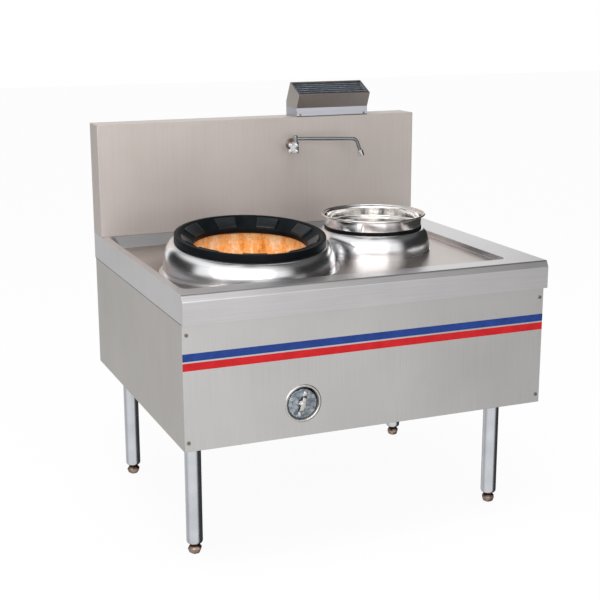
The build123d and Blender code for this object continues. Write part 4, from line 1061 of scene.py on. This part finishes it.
# %% Tap
tap_pieces = {
    "tap_body": ("tap_casting", tap_chrome, 0.0012),
    "tap_handle": ("tap_knob", tap_chrome, 0.0012),
    "tap_spout": ("tap_spout_tube", aged_chrome, 0.0006),
    "tap_aerator": ("tap_nozzle", tap_chrome, 0.0006),
    "tap_flange": ("tap_rose", dark_chrome, 0.0006),
}
for node, (name, finish, radius) in tap_pieces.items():
    piece = clean_copy(node, name)
    ease_edges(piece, radius, 40, 2)
    stand_for(keep_flats(piece), finish, node)

# %% [markdown]
# ## Everything else
#
# Most of what remains is seen only from below, from behind or through the wok ring. Each piece
# keeps its frame shape, cleaned and shaded smooth, with the finish that its maker would give it.

# %% Remaining pieces
remaining = {
    "base_frame": angle_paint, "corner_posts": angle_paint, "deck_bearers": angle_paint,
    "flue_riser": plain_steel, "flue_duct": hot_steel, "flue_bridge": hot_steel,
    "main_drum": hot_steel, "main_floor_plate": hot_steel,
    "main_burner": burner_iron, "main_jets": brass, "rear_drum": hot_steel,
    "rear_lining": ceramic_fibre, "port_sleeve": plain_steel, "blue_stripe": blue_tape,
    # The casing screws take the darker chrome as painted shade around their heads.
    "red_stripe": red_tape, "casing_screws": dark_chrome, "gas_manifold": gas_yellow,
    "main_cock": brass, "main_cock_lever": lever_red, "pilot_cock": brass,
    "pilot_cock_lever": lever_red, "main_feed_pipe": plain_steel, "pilot_tube": copper,
    "water_pipe": copper, "drain_cup": plain_steel, "drain_strainer": satin_steel,
}
for node, finish in remaining.items():
    piece = clean_copy(node, node + "_piece")
    stand_for(smooth(piece, 30), finish, node)
print("remaining pieces:", len(remaining))

# %% [markdown]
# ## Floor, light and background
#
# The photograph was cut out onto white. The floor is pale and takes a soft shadow, and camera
# rays see white behind it. Metal shows its surroundings, so the room matters as much as the
# lamps: a wide bright front, and black cards at the sides that give round metal its dark edges.
# The cards exist only for mirrored rays, which pass through the floor too and see the levels
# written for below the horizon, so metal doesn't mirror the white background. Levels are written
# as brightness around the compass, from 0 at -X over the front at 0.25 and +X at 0.5 to the back
# at 0.75.

# %% Studio levels
floor_levels = ((0.0, 0.7), (0.04, 0.78), (0.33, 0.78), (0.39, 0.04), (0.74, 0.04), (0.79, 0.7),
                (0.83, 0.7), (0.88, 0.5), (0.96, 0.5), (1.0, 0.7))
low_levels = ((0.0, 1.0), (0.32, 1.0), (0.37, 0.02), (0.64, 0.02), (0.66, 1.0), (0.80, 1.0),
              (0.82, 0.02), (0.97, 0.02), (0.998, 1.0), (1.0, 1.0))
high_levels = ((0.0, 1.0), (0.27, 1.0), (0.38, 0.12), (0.64, 0.06), (0.67, 0.5), (0.80, 0.4),
               (0.87, 0.8), (1.0, 1.0))
overhead_levels = ((0.0, 0.1), (0.06, 0.1), (0.08, 0.9), (0.14, 0.9), (0.16, 0.1), (0.24, 0.1),
                   (0.27, 0.4), (0.36, 0.4), (0.38, 0.05), (0.52, 0.05), (0.54, 0.9), (0.60, 0.9),
                   (0.62, 0.1), (0.74, 0.1), (0.76, 0.8), (0.80, 0.8), (0.82, 0.1), (1.0, 0.1))


def compass(tree, direction, levels):
    """Grey levels around the compass for a direction."""
    around = add(tree, "ShaderNodeTexGradient", {"gradient_type": "RADIAL"}, Vector=direction)
    greys = [(position, (level, level, level, 1)) for position, level in levels]
    return add(tree, "ShaderNodeValToRGB", Fac=around.outputs["Fac"], stops=greys).outputs[0]


def seen_rays(tree, *kinds):
    """One for rays of the named kinds, such as straight, mirrored or through glass."""
    path = add(tree, "ShaderNodeLightPath").outputs
    total = path[kinds[0]]
    for kind in kinds[1:]:
        total = add(tree, "ShaderNodeMath", {"use_clamp": True}, i0=total, i1=path[kind]).outputs[0]
    return total


# %% Floor
bpy.ops.object.select_all(action="DESELECT")
bpy.ops.mesh.primitive_plane_add(size=40, location=(0, 0, 0))
floor = bpy.context.active_object
floor.name = "floor"
pale, tree, surface, where = new_material("pale_floor", Roughness=0.9)
surface.inputs["Base Color"].default_value = linear("#F2F2F2")
white = add(tree, "ShaderNodeEmission", Color=(1, 1, 1, 1), Strength=1.0)
straight = seen_rays(tree, "Is Camera Ray", "Is Transmission Ray")
share = add(tree, "ShaderNodeMath", {"operation": "MULTIPLY"}, i0=straight, i1=0.94)
paper = add(tree, "ShaderNodeMixShader", i0=share.outputs[0], i1=surface.outputs[0],
            i2=white.outputs[0])
open_floor = add(tree, "ShaderNodeBsdfTransparent")
blend = add(tree, "ShaderNodeMixShader", i0=seen_rays(tree, "Is Glossy Ray"),
            i1=paper.outputs[0], i2=open_floor.outputs[0])
out = next(n for n in tree.nodes if n.bl_idname == "ShaderNodeOutputMaterial")
tree.links.new(blend.outputs[0], out.inputs["Surface"])
floor.data.materials.append(pale)

# %% World
world = bpy.data.worlds.new("studio")
bpy.context.scene.world = world
world.use_nodes = True
tree = world.node_tree
tree.nodes.clear()
direction = add(tree, "ShaderNodeTexCoord").outputs["Generated"]
height = add(tree, "ShaderNodeSeparateXYZ", Vector=direction).outputs[2]
room = compass(tree, direction, low_levels)
for start, end, levels in ((0.38, 0.58, high_levels), (0.80, 0.96, overhead_levels),
                           (-0.03, -0.08, floor_levels)):
    share = add(tree, "ShaderNodeMapRange", Value=height, From_Min=start, From_Max=end).outputs[0]
    room = add(tree, "ShaderNodeMix", {"data_type": "RGBA"}, Factor=share, i6=room,
               i7=compass(tree, direction, levels)).outputs[2]
camera_ray = add(tree, "ShaderNodeLightPath").outputs["Is Camera Ray"]
shown = add(tree, "ShaderNodeMix", {"data_type": "RGBA"}, Factor=camera_ray, i6=room,
            i7=(1, 1, 1, 1)).outputs[2]
mirrored = add(tree, "ShaderNodeBackground", Color=shown, Strength=1.0)
soft_sky = add(tree, "ShaderNodeBackground", Color=(1, 1, 1, 1), Strength=0.7)
seen = seen_rays(tree, "Is Camera Ray", "Is Glossy Ray", "Is Transmission Ray")
either = add(tree, "ShaderNodeMixShader", i0=seen, i1=soft_sky.outputs[0],
             i2=mirrored.outputs[0])
add(tree, "ShaderNodeOutputWorld", Surface=either.outputs[0])

# %% Lamps


def softbox(name, place, aim, width, height, watts):
    """A large rectangular lamp that points at a spot."""
    lamp = bpy.data.lights.new(name, "AREA")
    lamp.shape = "RECTANGLE"
    lamp.size = width
    lamp.size_y = height
    lamp.energy = watts
    holder = bpy.data.objects.new(name, lamp)
    bpy.context.scene.collection.objects.link(holder)
    holder.location = place
    holder.rotation_euler = (Vector(aim) - Vector(place)).to_track_quat("-Z", "Y").to_euler()
    return holder


softbox("front_softbox", (-2.2, -3.7, 2.3), (0, 0, 0.8), 6.6, 2.6, 100)
top = softbox("top_softbox", (-0.5, -0.8, 3.6), (0, 0, 0.8), 2.6, 2.0, 75)
top.visible_glossy = False

# %% [markdown]
# ## Final settings
#
# Colours are shown as they are written.

# %% Finish
bpy.context.scene.view_settings.view_transform = "Standard"
